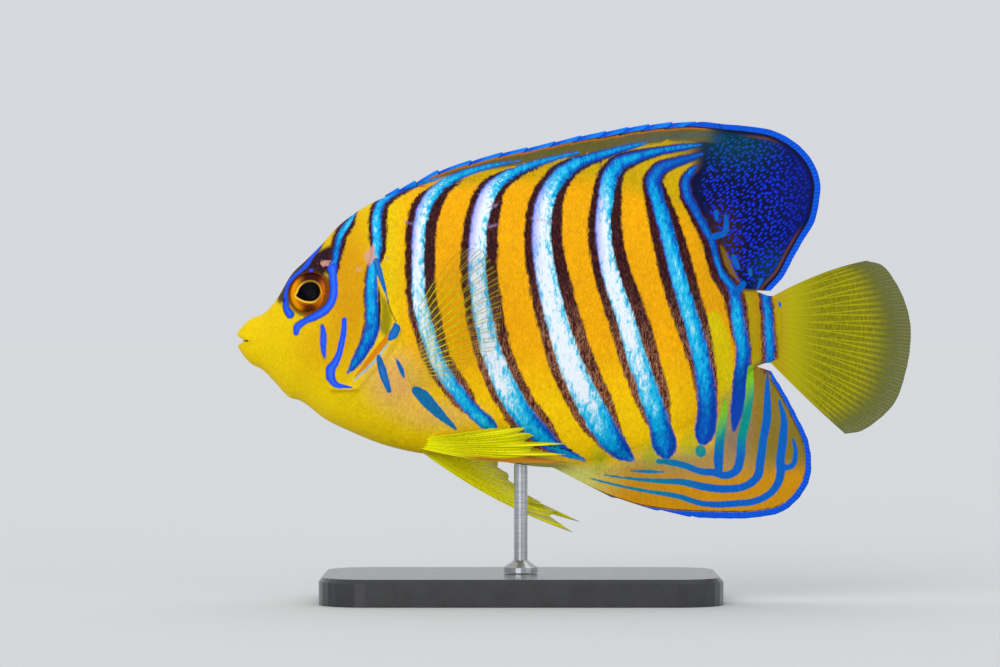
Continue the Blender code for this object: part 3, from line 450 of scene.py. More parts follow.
def smooth(pairs):
    """A smooth function through a few (position, value) pairs."""
    xs, ys = np.array(pairs, float).T
    slopes = np.gradient(ys, xs)

    def at(x):
        x = np.clip(np.asarray(x, float), xs[0], xs[-1])
        i = np.clip(np.searchsorted(xs, x) - 1, 0, len(xs) - 2)
        width = xs[i + 1] - xs[i]
        t = (x - xs[i]) / width
        start = (1 + 2 * t) * (1 - t) ** 2 * ys[i] + t * (1 - t) ** 2 * width * slopes[i]
        end = t**2 * (3 - 2 * t) * ys[i + 1] + t**2 * (t - 1) * width * slopes[i + 1]
        return start + end

    return at


def path(points, by_length=True):
    """A smooth line through points, from 0 at the first to 1 at the last."""
    points = np.array(points, float)
    steps = np.ones(len(points) - 1)
    if by_length:
        steps = np.linalg.norm(np.diff(points[:, :3], axis=0), axis=1)
    knots = np.concatenate([[0], np.cumsum(steps)]) / steps.sum()
    axes = [smooth(list(zip(knots, column))) for column in points.T]
    return lambda u: np.stack([axis(u) for axis in axes], axis=-1)


back_at = smooth(BACK)
belly_at = smooth(BELLY)
half_width_at = smooth(HALF_WIDTH)
gill_edge_at = smooth(GILL_EDGE)
cheek_edge_at = smooth(CHEEK_EDGE)


def sway(s):
    reach = np.clip((np.asarray(s, float) - SWAY_START) / (TOTAL_LENGTH - SWAY_START), 0, None)
    return SWAY * reach**2


def place(points):
    """Points (s, y, h) of the fish in millimetres, as positions in the room in metres."""
    s, y, h = np.asarray(points, float).T
    return np.stack([s - TOTAL_LENGTH / 2, y + sway(s), h + AXIS_HEIGHT], axis=-1) * MM


def unplace(positions):
    """The reverse of place."""
    x, y, z = np.asarray(positions, float).T / MM
    s = x + TOTAL_LENGTH / 2
    return np.stack([s, y - sway(s), z - AXIS_HEIGHT], axis=-1)


def drawn(s, h):
    """The place (x, y) in the side view drawing of (s, h) on the fish."""
    return DRAWN_SNOUT[0] + s / UNIT, DRAWN_SNOUT[1] - h / UNIT


def undrawn(x, y):
    return (np.asarray(x, float) - DRAWN_SNOUT[0]) * UNIT, (DRAWN_SNOUT[1] - np.asarray(y, float)) * UNIT


def ramp(x, low, high):
    """0 below low, 1 above high, smooth between."""
    t = np.clip((x - low) / (high - low), 0, 1)
    return t * t * (3 - 2 * t)


def head_relief(s, share):
    """How far the gill cover and the cheek stand out from the plain body."""
    band = ramp(share, 0.08, 0.25) * (1 - ramp(share, 0.62, 0.8))
    gill = GILL_RAISE * ramp(s - cheek_edge_at(share), 0, 6)
    cheek = CHEEK_RAISE * ramp(s, 12, 20) * (1 - ramp(s - cheek_edge_at(share), -0.5, 1.5))
    return band * (gill + cheek) * (1 - ramp(s - gill_edge_at(share), -0.3, 0.5))


def half_body(s, share, grow=0.0):
    """Half the body's width at s and at a share of its height."""
    cosine = np.sqrt(np.clip(1 - (2 * share - 1) ** 2, 0, 1))
    sharpness = np.where(share > 0.5, BACK_SHARPNESS, BELLY_SHARPNESS)
    out = (half_width_at(s) + grow) * cosine**sharpness
    return out + head_relief(s, share) * np.clip(cosine * 3, 0, 1)


def surface_y(s, h, grow=0.0):
    """Half the body's width at (s, h)."""
    low, high = belly_at(s) - grow, back_at(s) + grow
    return half_body(s, np.clip((h - low) / (high - low), 0, 1), grow)


# Measures of the markings


def track(points, line, reach=30.0):
    """For each (x, y), the signed distance into a line of varying width, its share of the line's
    length, and its place across from -1 in front to 1 behind. line holds (x, y, half width, ...).
    Points farther than reach keep -1000."""
    count = max(12, 5 * len(line))
    fine = path(line)(np.linspace(0, 1, count))
    order = np.argsort(points[:, 1])
    heights = points[order, 1]
    best = np.full(len(points), -1e3)
    share, across = np.zeros(len(points)), np.zeros(len(points))
    for k in range(count - 1):
        start, end = fine[k], fine[k + 1]
        low, high = min(start[1], end[1]) - reach, max(start[1], end[1]) + reach
        here = order[np.searchsorted(heights, low):np.searchsorted(heights, high)]
        step = end[:2] - start[:2]
        offset = points[here] - start[:2]
        t = np.clip(offset @ step / (step @ step), 0, 1)
        gap = offset - t[:, None] * step
        distance = np.hypot(gap[:, 0], gap[:, 1])
        width = start[2] + (end[2] - start[2]) * t
        inside = width - distance
        better = inside > best[here]
        chosen = here[better]
        best[chosen] = inside[better]
        share[chosen] = (k + t[better]) / (count - 1)
        turn = np.sign(step[0] * offset[:, 1] - step[1] * offset[:, 0])
        across[chosen] = (turn * distance / np.maximum(width, 0.5))[better]
    return best, share, across


def near(points, line, margin):
    """Which points lie near a line."""
    xs, ys = [p[0] for p in line], [p[1] for p in line]
    x, y = points.T
    return (x > min(xs) - margin) & (x < max(xs) + margin) & (y > min(ys) - margin) & (y < max(ys) + margin)


def band_marks(points):
    """Distances into the pale bands and into their dark borders, and how white the bands are."""
    count = len(points)
    marks = {name: np.full(count, -20.0) for name in ("band", "border")}
    marks["white"], marks["across"] = np.zeros(count), np.zeros(count)
    for line, front, rear in zip(BANDS, FRONT_BORDER, REAR_BORDER):
        close = np.flatnonzero(near(points, line, 30))
        inside, share, across = track(points[close], line)
        white = path(line)(share)[:, 3]
        lower = 1 - ramp(share, 0.02, 0.16) if len(line) > 10 else 0.0
        width = np.where(across < 0, smooth(front)(share), smooth(rear)(share))
        border = inside + (1 - lower) * width - BLUNT_END * lower
        better = inside > marks["band"][close]
        chosen = close[better]
        marks["band"][chosen] = inside[better]
        marks["white"][chosen] = white[better]
        marks["across"][chosen] = across[better]
        marks["border"][close] = np.maximum(marks["border"][close], border)
    return marks


def line_marks(points, lines, reach=24):
    """The greatest distance into any of these lines."""
    best = np.full(len(points), -20.0)
    for line in lines:
        close = near(points, line, reach)
        inside, _, _ = track(points[close], line)
        best[close] = np.maximum(best[close], inside)
    return best


def spot(points, x, y, across, up, soft=1.0):
    """1 at the middle of a soft oval spot, 0 outside it."""
    d = np.hypot((points[:, 0] - x) / across, (points[:, 1] - y) / up)
    return 1 - ramp(d, 1 - 0.5 * soft, 1 + 0.5 * soft)


def blend(colours, colour, mask):
    """The colours with another laid over them by mask."""
    return colours + (linear(colour) - colours) * np.clip(mask, 0, 1)[:, None]


SOFT_FRONT = smooth([
    (100, 712), (128, 708), (140, 703), (150, 700), (160, 698), (170, 697), (180, 690), (193, 691),
    (209, 699), (228, 709), (241, 716), (258, 719), (276, 727), (291, 736), (300, 742),
])
BELLY_LINE = smooth([
    (400, 462), (450, 456), (490, 450), (530, 455), (560, 462), (600, 466), (640, 462), (680, 458),
    (720, 440), (740, 410), (752, 368), (760, 360), (800, 300),
])


def ground(points, s, h):
    """The colour under the markings, over the whole side view, as linear light."""
    x, y = points.T
    colours = np.tile(linear(ORANGE), (len(points), 1))
    colours = blend(colours, LOW_ORANGE, ramp(y, 330, 420))
    colours = blend(colours, REAR_ORANGE, 0.7 * ramp(x, 660, 720))
    colours = blend(colours, STRIPE_YELLOW, ramp(line_marks(points, YELLOW_LINES), -2.5, 1))
    colours = blend(colours, FIN_YELLOW, ramp(h - back_at(s), -5, 2) * ramp(x, 400, 460))
    colours = blend(colours, FACE_YELLOW, 1 - ramp(x, 385, 425))
    colours = blend(colours, FACE_YELLOW, ramp(y, 395, 425) * (1 - ramp(x, 450, 500)))
    colours = face_ground(points, colours)
    low = ramp(y - BELLY_LINE(x), -7, 7)
    colours = blend(colours, BELLY_GREEN, low * ramp(x, 440, 490))
    anal = low * ramp(x + 0.5 * (y - 470), 575, 645)
    colours = blend(colours, OCHRE, anal)
    colours = blend(colours, REAR_OLIVE, anal * ramp(x, 722, 770) * (1 - ramp(y, 455, 480)))
    colours = blend(colours, ANAL_GREY, 0.75 * spot(points, 690, 462, 60, 14, 1.6) * (y > 445))
    for at_x, at_y in LIME_SPOTS:
        colours = blend(colours, LIME, 0.5 * spot(points, at_x, at_y, 8, 12, 1.6))
    colours = blend(colours, ANAL_SHADE, 0.75 * spot(points, 734, 428, 17, 30, 1.3))
    colours = blend(colours, STALK_YELLOW, 0.75 * ramp(x, 738, 746) * (1 - ramp(y, 350, 372)))
    stalk_end = ramp(x, 777, 780.5) * (1 - ramp(x, 790, 800)) * (1 - ramp(y, 366, 374))
    colours = blend(colours, TAIL_YELLOW, stalk_end)
    return dorsal_ground(points, colours)


def face_ground(points, colours):
    """Adds the tones of the cheek, the breast, the gill cover and the dark mask round the eye."""
    x, y = points.T
    colours = blend(colours, CHEEK_ORANGE, 0.95 * spot(points, 352, 285, 25, 68, 1.3))
    colours = blend(colours, CHEEK_ORANGE, 0.55 * spot(points, 325, 345, 26, 28, 1.6))
    colours = blend(colours, PEACH, 0.85 * spot(points, 397, 380, 27, 26, 1.4))
    colours = blend(colours, PEACH, 0.6 * spot(points, 440, 414, 36, 13, 1.5))
    colours = blend(colours, GILL_OLIVE, 0.8 * ramp(line_marks(points, GILL_PATCH), -2.5, 3))
    colours = blend(colours, GILL_ORANGE, ramp(line_marks(points, GILL_BAR), -0.4, 0.8))
    colours = blend(colours, GILL_BLUE, ramp(line_marks(points, GILL_GLINT), -0.5, 0.5))
    colours = blend(colours, MASK_OLIVE, 0.94 * ramp(line_marks(points, MASK_EDGE), -3, 2.5))
    colours = blend(colours, MASK, 0.995 * ramp(line_marks(points, MASK_LINE), -3, 2))
    distance = np.hypot(x - EYE_DRAWN[0], y - EYE_DRAWN[1])
    colours = blend(colours, MASK_OLIVE, 0.8 * (1 - ramp(distance, 22.5, 25.5)))
    return blend(colours, EYE_EDGE, 1 - ramp(distance, 20.5, 22.5))


def dorsal_ground(points, colours):
    """Adds the dark rear part of the dorsal fin and the back below it."""
    x, y = points.T
    top = 1 - ramp(y, 150, 168)
    colours = blend(colours, FIN_OLIVE, 0.8 * ramp(x, 655, 700) * top)
    front = x - SOFT_FRONT(y)
    soft = 1 - ramp(y, 148, 190)
    deep = ramp((front + 7 + 5 * soft) / (8 + 18 * soft), 0, 1)
    deep = (1 - (1 - deep) ** 2.2) * (1 - ramp(y, 288, 293))
    colours = blend(colours, NAVY, deep)
    colours = blend(colours, SOFT_BLUE, deep * ramp(x, 750, 808))
    colours = blend(colours, TEAL_DARK, deep * (1 - ramp(y, 128, 175)) * (1 - ramp(x, 735, 790)))
    colours = blend(colours, EARTH, 0.8 * deep * spot(points, 722, 250, 18, 40, 1.2))
    colours = blend(colours, TEAL_DARK, 0.7 * deep * spot(points, 772, 272, 20, 22, 1.2))
    return blend(colours, ARC_OCHRE, 0.8 * ramp(line_marks(points, REAR_ARC), -1.5, 1.5))


def line_colours(points, face, flap, rear):
    """The colour of the narrow lines, from blue to teal and lime on the rear fins."""
    x, y = points.T
    colours = np.tile(linear(REAR_BLUE), (len(points), 1))
    behind = ramp(y, 330, 350) * (1 - ramp(y, 428, 462)) * (1 - ramp(x, 752, 764))
    colours = blend(colours, LINE_TEAL, behind + 0.6 * ramp(y, 430, 450) * (1 - ramp(x, 650, 720)))
    level = y + 1.15 * (x - 724)
    colours = blend(colours, LINE_LIME, behind * (1 - ramp(level, 408, 438)))
    colours = blend(colours, LINE_TEAL, 0.7 * spot(points, 700, 451, 10, 9))
    front = np.maximum(face, flap) > rear
    colours = blend(colours, FACE_BLUE, 1.0 * front)
    colours = blend(colours, GILL_TEAL, (flap > np.maximum(face, rear)) * 1.0)
    return blend(colours, BREAST_TEAL, spot(points, 434, 408, 34, 34) * (x < 470))


def dash_region(x, y):
    """Where the small blue dashes of the soft dorsal fin lie."""
    region = ramp(x - SOFT_FRONT(y), 5, 13) * (1 - ramp(y, 280, 290)) * ramp(y, 118, 140)
    return region * ramp(x, 690, 712) * (1 - 0.45 * ramp(x, 770, 800))


def markings(s, h):
    """Every marking at (s, h) on the fish, with painted shade: distances in millimetres, positive inside."""
    points = np.stack(drawn(s, h), axis=-1)
    x, y = points.T
    marks = band_marks(points)
    face = line_marks(points, FACE_LINES)
    flap = line_marks(points, FLAP_LINES)
    rear = line_marks(points, DORSAL_LINES + ANAL_LINES)
    blue = np.maximum(np.maximum(face, flap), rear)
    # Dark lines, among them painted shade along the mouth's slit.
    dark = line_marks(points, DARK_LINES)
    scars = spot(points, 326.5, 263.5, 6.5, 3.2, 1.3) + spot(points, 371, 256, 5.5, 9.5, 1.3)
    scars += 0.6 * spot(points, 360.2, 269.5, 5, 3.5) + spot(points, 387.5, 258.7, 1.8, 1.8)
    scratches = ramp(line_marks(points, SCRATCHES), -0.6, 0.6)
    depth = smooth(DORSAL_SPINE_TIPS)(s) - h
    fade = (1 - ramp(depth, 2.0, 7.5)) * ramp(x, 405, 440) * (1 - ramp(x, 660, 700))
    marks["border"] = marks["border"] - 9.0 * fade
    out = {name: marks[name] * UNIT for name in ("band", "border")}
    out.update(white=marks["white"], across=marks["across"], blue=blue * UNIT)
    out.update(line=line_colours(points, face, flap, rear), dark=dark * UNIT)
    out.update(scar=np.clip(scars, 0, 1), spots=dash_region(x, y))
    out.update(scratch=0.7 * scratches, ground=ground(points, s, h))
    return out


# Meshes


def make_mesh(name, points, faces):
    mesh = bpy.data.meshes.new(name)
    mesh.from_pydata(np.asarray(points, float).tolist(), [], [list(map(int, f)) for f in faces])
    return mesh


def quick_mesh(name, points, quads, triangles=np.empty((0, 3), int)):
    """A mesh from arrays of points, four-cornered faces and three-cornered faces, made quickly."""
    mesh = bpy.data.meshes.new(name)
    mesh.vertices.add(len(points))
    mesh.vertices.foreach_set("co", np.asarray(points, np.float32).ravel())
    corners = np.concatenate([quads.ravel(), triangles.ravel()]).astype(np.int32)
    starts = np.concatenate([
        np.arange(0, quads.size, 4), quads.size + np.arange(0, triangles.size, 3),
    ]).astype(np.int32)
    mesh.loops.add(len(corners))
    mesh.loops.foreach_set("vertex_index", corners)
    mesh.polygons.add(len(starts))
    mesh.polygons.foreach_set("loop_start", starts)
    mesh.update(calc_edges=True)
    return mesh


def add_object(name, mesh):
    obj = bpy.data.objects.new(name, mesh)
    bpy.context.scene.collection.objects.link(obj)
    return obj


def outward(mesh):
    """Turns the faces of a closed mesh outwards."""
    skin = bmesh.new()
    skin.from_mesh(mesh)
    bmesh.ops.recalc_face_normals(skin, faces=skin.faces)
    if skin.calc_volume(signed=True) < 0:
        bmesh.ops.reverse_faces(skin, faces=skin.faces)
    skin.to_mesh(mesh)
    skin.free()


def helper(name, points, faces):
    obj = add_object(name, make_mesh(name, points, faces))
    outward(obj.data)
    return obj


def settle(obj):
    """Applies the modifiers of obj."""
    graph = bpy.context.evaluated_depsgraph_get()
    mesh = bpy.data.meshes.new_from_object(obj.evaluated_get(graph))
    old = obj.data
    obj.modifiers.clear()
    obj.data = mesh
    bpy.data.meshes.remove(old)


def positions(mesh):
    co = np.empty(len(mesh.vertices) * 3, np.float32)
    mesh.vertices.foreach_get("co", co)
    return co.reshape(-1, 3).astype(float)


def store(mesh, name, values):
    """Keeps a number, or a colour, for each vertex of the mesh."""
    values = np.asarray(values, np.float32)
    if values.ndim == 1:
        mesh.attributes.new(name, "FLOAT", "POINT").data.foreach_set("value", values)
        return
    if values.shape[1] == 3:
        values = np.concatenate([values, np.ones((len(values), 1), np.float32)], axis=1)
    mesh.attributes.new(name, "FLOAT_COLOR", "POINT").data.foreach_set("color", values.ravel())


def cut(obj, others):
    """Cuts other shapes from obj and removes them."""
    for other in others:
        modifier = obj.modifiers.new("Cut", "BOOLEAN")
        modifier.operation = "DIFFERENCE"
        modifier.object = other
        modifier.solver = "EXACT"
        settle(obj)
        bpy.data.objects.remove(other)


def frame_round(axis):
    """Two directions square to an axis."""
    axis = Vector(axis).normalized()
    first = axis.cross(Vector((0, 0, 1))).normalized()
    return np.array(axis), np.array(first), np.array(first.cross(axis))


def mirrored(vector, side):
    return np.array([vector[0], vector[1] * side, vector[2]], float)


def ring_faces(rings, sides, first=0):
    """The faces between rings of points that follow each other in a list."""
    faces = []
    for k in range(rings - 1):
        for i in range(sides):
            a, b = first + k * sides + i, first + k * sides + (i + 1) % sides
            faces.append([a, a + sides, b + sides, b])
    return faces


def ellipsoid(centre, axis, radius, depth, rings=24, sides=48):
    """A ball of this radius, squeezed to depth along axis, with a pole at each end of that axis."""
    axis, first, second = frame_round(axis)
    points = [np.array(centre) + axis * depth]
    for k in range(1, rings):
        lean = math.pi * k / rings
        for i in range(sides):
            turn = 2 * math.pi * i / sides
            across = first * math.cos(turn) + second * math.sin(turn)
            points.append(centre + axis * depth * math.cos(lean) + across * radius * math.sin(lean))
    points.append(np.array(centre) - axis * depth)
    faces = [[0, 1 + i, 1 + (i + 1) % sides] for i in range(sides)]
    faces += ring_faces(rings - 1, sides, 1)
    last, start = len(points) - 1, 1 + (rings - 2) * sides
    faces += [[last, start + (i + 1) % sides, start + i] for i in range(sides)]
    return np.array(points), faces


def torus(centre, axis, radius, tube_radius, sides=64, tube_sides=14):
    axis, first, second = frame_round(axis)
    points, faces = [], []
    for i in range(sides):
        turn = 2 * math.pi * i / sides
        out = first * math.cos(turn) + second * math.sin(turn)
        for j in range(tube_sides):
            roll = 2 * math.pi * j / tube_sides
            offset = out * (radius + tube_radius * math.cos(roll)) + axis * tube_radius * math.sin(roll)
            points.append(centre + offset)
    for i in range(sides):
        for j in range(tube_sides):
            a, b = i * tube_sides, (i + 1) % sides * tube_sides
            faces.append([a + j, b + j, b + (j + 1) % tube_sides, a + (j + 1) % tube_sides])
    return np.array(points), faces


def tube(line, radii, sides=14):
    """A closed tube of varying radius along a line of points, with flat ends."""
    line = np.array(line, float)
    points = []
    for i, (centre, radius) in enumerate(zip(line, radii)):
        along = line[min(i + 1, len(line) - 1)] - line[max(i - 1, 0)]
        _, first, second = frame_round(along)
        for j in range(sides):
            turn = 2 * math.pi * j / sides
            points.append(centre + (first * math.cos(turn) + second * math.sin(turn)) * radius)
    faces = ring_faces(len(line), sides)
    faces.append(list(range(sides))[::-1])
    faces.append(list(range((len(line) - 1) * sides, len(line) * sides)))
    return np.array(points), faces


def prism(outline, half):
    """A closed prism across the fish over an outline in (s, h)."""
    count = len(outline)
    points = [(s, y, h) for y in (-half, half) for s, h in outline]
    faces = [list(range(count)), list(range(count, 2 * count))[::-1]]
    for i in range(count):
        j = (i + 1) % count
        faces.append([i, j, j + count, i + count])
    return np.array(points, float), faces


# Materials


class Nodes:
    """Makes the nodes of one material, each call giving the socket that holds its result.

    Colours given as three numbers are screen colours.
    """

    def __init__(self, name):
        self.material = bpy.data.materials.new(name)
        self.material.use_nodes = True
        self.tree = self.material.node_tree
        self.shader = self.tree.nodes["Principled BSDF"]

    def node(self, kind, inputs=(), **settings):
        node = self.tree.nodes.new(kind)
        for key, value in settings.items():
            setattr(node, key, value)
        for key, value in dict(inputs).items():
            self.feed(node.inputs[key], value)
        return node

    def feed(self, socket, value):
        if isinstance(value, bpy.types.NodeSocket):
            self.tree.links.new(value, socket)
        elif socket.type == "RGBA" and len(value) == 3:
            socket.default_value = (*linear(value), 1)
        else:
            socket.default_value = value

    def value(self, name):
        return self.node("ShaderNodeAttribute", attribute_name=name).outputs["Fac"]

    def colour(self, name):
        return self.node("ShaderNodeAttribute", attribute_name=name).outputs["Color"]

    def place(self):
        return self.node("ShaderNodeTexCoord").outputs["Object"]

    def vector(self, x, y, z=0.0):
        return self.node("ShaderNodeCombineXYZ", {0: x, 1: y, 2: z}).outputs[0]

    def scaled(self, vector, scale):
        node = self.node("ShaderNodeMapping", {"Vector": vector, "Scale": scale})
        return node.outputs[0]

    def noise(self, vector, scale, detail=2.0, roughness=0.5, distortion=0.0):
        inputs = {
            "Vector": vector, "Scale": scale, "Detail": detail, "Roughness": roughness,
            "Distortion": distortion,
        }
        return self.node("ShaderNodeTexNoise", inputs).outputs["Fac"]

    def cells(self, vector, scale, feature="F1", output="Distance"):
        inputs = {"Vector": vector, "Scale": scale}
        return self.node("ShaderNodeTexVoronoi", inputs, feature=feature).outputs[output]

    def math(self, operation, a, b=0.0, c=0.0):
        return self.node("ShaderNodeMath", {0: a, 1: b, 2: c}, operation=operation).outputs[0]

    def times(self, a, b):
        return self.math("MULTIPLY", a, b)

    def plus(self, a, b):
        return self.math("ADD", a, b)

    def minus(self, a, b):
        return self.math("SUBTRACT", a, b)

    def fit(self, value, factor, offset):
        """The value times factor, plus offset."""
        return self.math("MULTIPLY_ADD", value, factor, offset)

    def part(self, vector, axis):
        return self.node("ShaderNodeSeparateXYZ", {0: vector}).outputs[axis]

    def shaded(self, colour, shade):
        """The colour made darker or brighter by a number."""
        grey = self.node("ShaderNodeCombineColor", {0: shade, 1: shade, 2: shade}).outputs[0]
        return self.mix(1.0, colour, grey, "MULTIPLY")

    def between(self, value, low, high, out_low=0.0, out_high=1.0):
        """A smooth step of value from low to high."""
        inputs = {0: value, 1: low, 2: high, 3: out_low, 4: out_high}
        node = self.node("ShaderNodeMapRange", inputs, interpolation_type="SMOOTHSTEP")
        return node.outputs[0]

    def mix(self, factor, a, b, kind="MIX"):
        node = self.node("ShaderNodeMix", data_type="RGBA", blend_type=kind)
        self.feed(node.inputs[0], factor)
        self.feed(node.inputs[6], a)
        self.feed(node.inputs[7], b)
        return node.outputs[2]

    def ramp(self, value, stops):
        """A colour that changes with value through (position, screen colour) stops."""
        node = self.node("ShaderNodeValToRGB", {"Fac": value})
        elements = node.color_ramp.elements
        for i, (at, colour) in enumerate(stops):
            element = elements[i] if i < 2 else elements.new(at)
            element.position = at
            element.color = (*linear(colour), 1)
        return node.outputs["Color"]

    def bump(self, height, distance, strength=1.0, normal=None):
        inputs = {"Height": height, "Distance": distance, "Strength": strength}
        if normal is not None:
            inputs["Normal"] = normal
        return self.node("ShaderNodeBump", inputs).outputs[0]

    def set(self, **inputs):
        for key, value in inputs.items():
            self.feed(self.shader.inputs[key.replace("_", " ")], value)
        return self.material


def marked_colour(nodes, fibre):
    """The body's colour: ground, dark borders, pale bands, blue marks, dark marks, painted shade and scars.
    """
    place = nodes.place()
    grain = nodes.noise(nodes.scaled(place, (1.0, 1.0, 0.45)), 1700.0, 3.0, 0.65)
    wisps = nodes.noise(nodes.scaled(place, (1.0, 1.0, 0.34)), 900.0, 4.0, 0.72, 0.5)
    clouds = nodes.noise(place, 90.0, 3.0, 0.6)
    height = nodes.part(place, 2)
    jitter = nodes.fit(wisps, 2.3 * fibre, -1.15 * fibre)
    shade = nodes.times(nodes.fit(grain, 0.6, 0.7), nodes.fit(clouds, 0.24, 0.88))
    shade = nodes.times(shade, nodes.plus(nodes.value("tint"), 1.0))
    colour = nodes.shaded(nodes.colour("ground"), shade)
    colour = nodes.mix(spot_pattern(nodes), colour, nodes.colour("spot_colour"))
    blue = nodes.plus(nodes.value("blue"), nodes.times(jitter, 0.36))
    rim = nodes.times(nodes.between(blue, -0.4, -0.05), nodes.value("blue_rim"))
    colour = nodes.mix(rim, colour, LINE_RIM)

    border = nodes.plus(nodes.value("border"), jitter)
    band = nodes.plus(nodes.value("band"), nodes.times(jitter, 0.75))
    brown = border_colour(nodes, grain, height)
    colour = nodes.mix(nodes.between(border, -0.4, 0.46), colour, brown)
    pale = band_colour(nodes, wisps, grain, height)
    colour = nodes.mix(nodes.between(band, -0.28, 0.46), colour, pale)
    hair = nodes.times(pale_hairs(nodes, place, border, band, height), min(1.0, fibre))
    colour = nodes.mix(hair, colour, HAIR)

    bright = nodes.shaded(nodes.colour("line"), nodes.fit(grain, 1.0, 0.52))
    ahead = nodes.between(nodes.part(place, 0), -0.045, -0.06, 0.0, 0.35)
    bright = nodes.mix(nodes.times(nodes.between(blue, 0.35, 1.1), ahead), bright, LINE_CORE)
    colour = nodes.mix(nodes.between(blue, -0.14, 0.22), colour, bright)

    # Dark lines, and painted shade along the mouth's slit.
    dark = nodes.plus(nodes.value("dark"), nodes.times(jitter, 0.25))
    colour = nodes.mix(nodes.between(dark, -0.18, 0.18), colour, DARK_MARK_AND_SHADE)
    scar = nodes.plus(nodes.value("scar"), nodes.fit(wisps, 3.4, -1.75))
    marked = nodes.between(nodes.value("scar"), 0.02, 0.2)
    scar = nodes.times(nodes.between(scar, 0.3, 0.8, 0.0, 0.8), marked)
    colour = nodes.mix(scar, colour, SCAR)
    return nodes.mix(nodes.value("scratch"), colour, SCRATCH), grain


def border_colour(nodes, grain, height):
    """Brown of the dark borders, redder low on the fish and bluer at its top."""
    upper, lower = nodes.ramp(grain, HIGH_BORDER), nodes.ramp(grain, LOW_BORDER)
    brown = nodes.mix(nodes.between(height, 0.09, 0.046), upper, lower)
    return nodes.mix(nodes.between(height, 0.118, 0.136, 0.0, 0.75), brown, BORDER_BLUE)


def pale_hairs(nodes, place, border, band, height):
    """Fine pale hairs in the dark borders, low on the fish."""
    hairs = nodes.noise(nodes.scaled(place, (1.0, 1.0, 0.22)), 1250.0, 2.0, 0.5, 1.2)
    ridge = nodes.math("ABSOLUTE", nodes.minus(hairs, 0.5))
    low = nodes.between(height, 0.1, 0.07, 0.0, 0.75)
    edge = nodes.times(nodes.between(border, -0.1, 0.4), nodes.between(band, 0.9, 0.0))
    return nodes.times(nodes.times(nodes.between(ridge, 0.06, 0.01), low), edge)


def band_colour(nodes, wisps, grain, height):
    """Blue to white in a pale band: bluer at its edges, lavender in front where it is high up."""
    across, white = nodes.value("across"), nodes.value("white")
    rear = nodes.times(nodes.between(across, 0.0, 1.0), 0.42)
    front = nodes.times(nodes.between(across, -0.35, -1.0), 0.34)
    flecks = nodes.times(nodes.fit(white, 1.9, 0.6), nodes.minus(wisps, 0.5))
    bright = nodes.plus(nodes.minus(white, nodes.plus(rear, front)), flecks)
    bright = nodes.plus(bright, nodes.fit(grain, 0.5, -0.25))
    pale = nodes.ramp(nodes.fit(bright, 0.8, 0.2), BAND_TONES)
    high = nodes.between(height, 0.092, 0.108, 0.0, 0.7)
    violet = nodes.times(nodes.between(across, 0.2, -0.9), high)
    violet = nodes.times(violet, nodes.between(white, 0.3, 0.8))
    pale = nodes.mix(violet, pale, LAVENDER)
    high = nodes.between(height, 0.075, 0.1, 0.0, 0.7)
    return nodes.mix(nodes.times(nodes.between(across, -0.72, -1.0), high), pale, BAND_VIOLET)


def spot_pattern(nodes):
    """Short bright dashes that run with the rear rays of the soft dorsal fin."""
    inputs = {"Vector": nodes.place(), "Rotation": (0, DASH_LEAN, 0)}
    turned = nodes.node("ShaderNodeMapping", inputs).outputs[0]
    lattice = nodes.vector(nodes.times(nodes.part(turned, 0), 0.56), nodes.part(turned, 2))
    inputs = {"Vector": lattice, "Scale": 1020.0, "Randomness": 0.75}
    dots = nodes.node("ShaderNodeTexVoronoi", inputs, voronoi_dimensions="2D").outputs["Distance"]
    size = nodes.fit(nodes.noise(nodes.place(), 900.0, 1.0), 0.4, 0.1)
    inside = nodes.minus(size, dots)
    return nodes.times(nodes.between(inside, -0.08, 0.08), nodes.value("spots"))


def hide_material(name, fibre=1.0, rough=0.55, bump=0.05):
    """The coloured hide of the body and of the scaled fins."""
    nodes = Nodes(name)
    colour, grain = marked_colour(nodes, fibre)
    granules = nodes.cells(nodes.place(), 1250.0, "SMOOTH_F1")
    height = nodes.plus(grain, nodes.times(granules, -0.8))
    return nodes.set(
        Base_Color=colour, Roughness=nodes.fit(grain, 0.25, rough - 0.12),
        Normal=nodes.bump(height, bump * MM, 0.7), Specular_IOR_Level=0.08,
    )


def tone(share, glow):
    """A yellow of the clear fins, darker as share falls."""
    return (min(255, 196 * share * glow), min(255, 188 * share * glow), 2)


def fin_material(name, glow=1.0, ray_clear=0.0):
    """Yellow fins: bright rays, olive and clearer skin between them and at the edge."""
    nodes = Nodes(name)
    ray, along = nodes.value("ray"), nodes.value("along")
    grain = nodes.noise(nodes.place(), 900.0, 3.0, 0.6)
    streaks = nodes.noise(nodes.vector(nodes.value("ray_across"), nodes.value("ray_along")), 1.6, 3.0)
    bright = nodes.ramp(streaks, [(0.3, tone(1.0, glow)), (0.65, tone(1.14, glow))])
    olive = nodes.ramp(streaks, [(0.3, tone(0.72, glow)), (0.65, tone(0.92, glow))])
    lit = nodes.between(ray, 0.1, 0.75)
    colour = nodes.mix(lit, olive, bright)
    colour = nodes.mix(nodes.between(along, 0.4, 0.0), colour, tone(1.12, glow))
    colour = nodes.mix(nodes.value("rim"), colour, FIN_RIM)
    colour = nodes.mix(nodes.value("warm"), colour, FIN_WARM)
    segments = nodes.math("SINE", nodes.times(nodes.value("ray_along"), 7.0))
    height = nodes.fit(nodes.times(segments, ray), 0.5, grain)
    solid = nodes.fit(lit, ray_clear - 1.0, 1.0)
    clear = nodes.times(nodes.value("clear"), solid)
    return nodes.set(
        Base_Color=colour, Roughness=0.45, Normal=nodes.bump(height, 0.04 * MM, 0.7),
        Specular_IOR_Level=0.1, Alpha=nodes.minus(1.0, clear),
    )


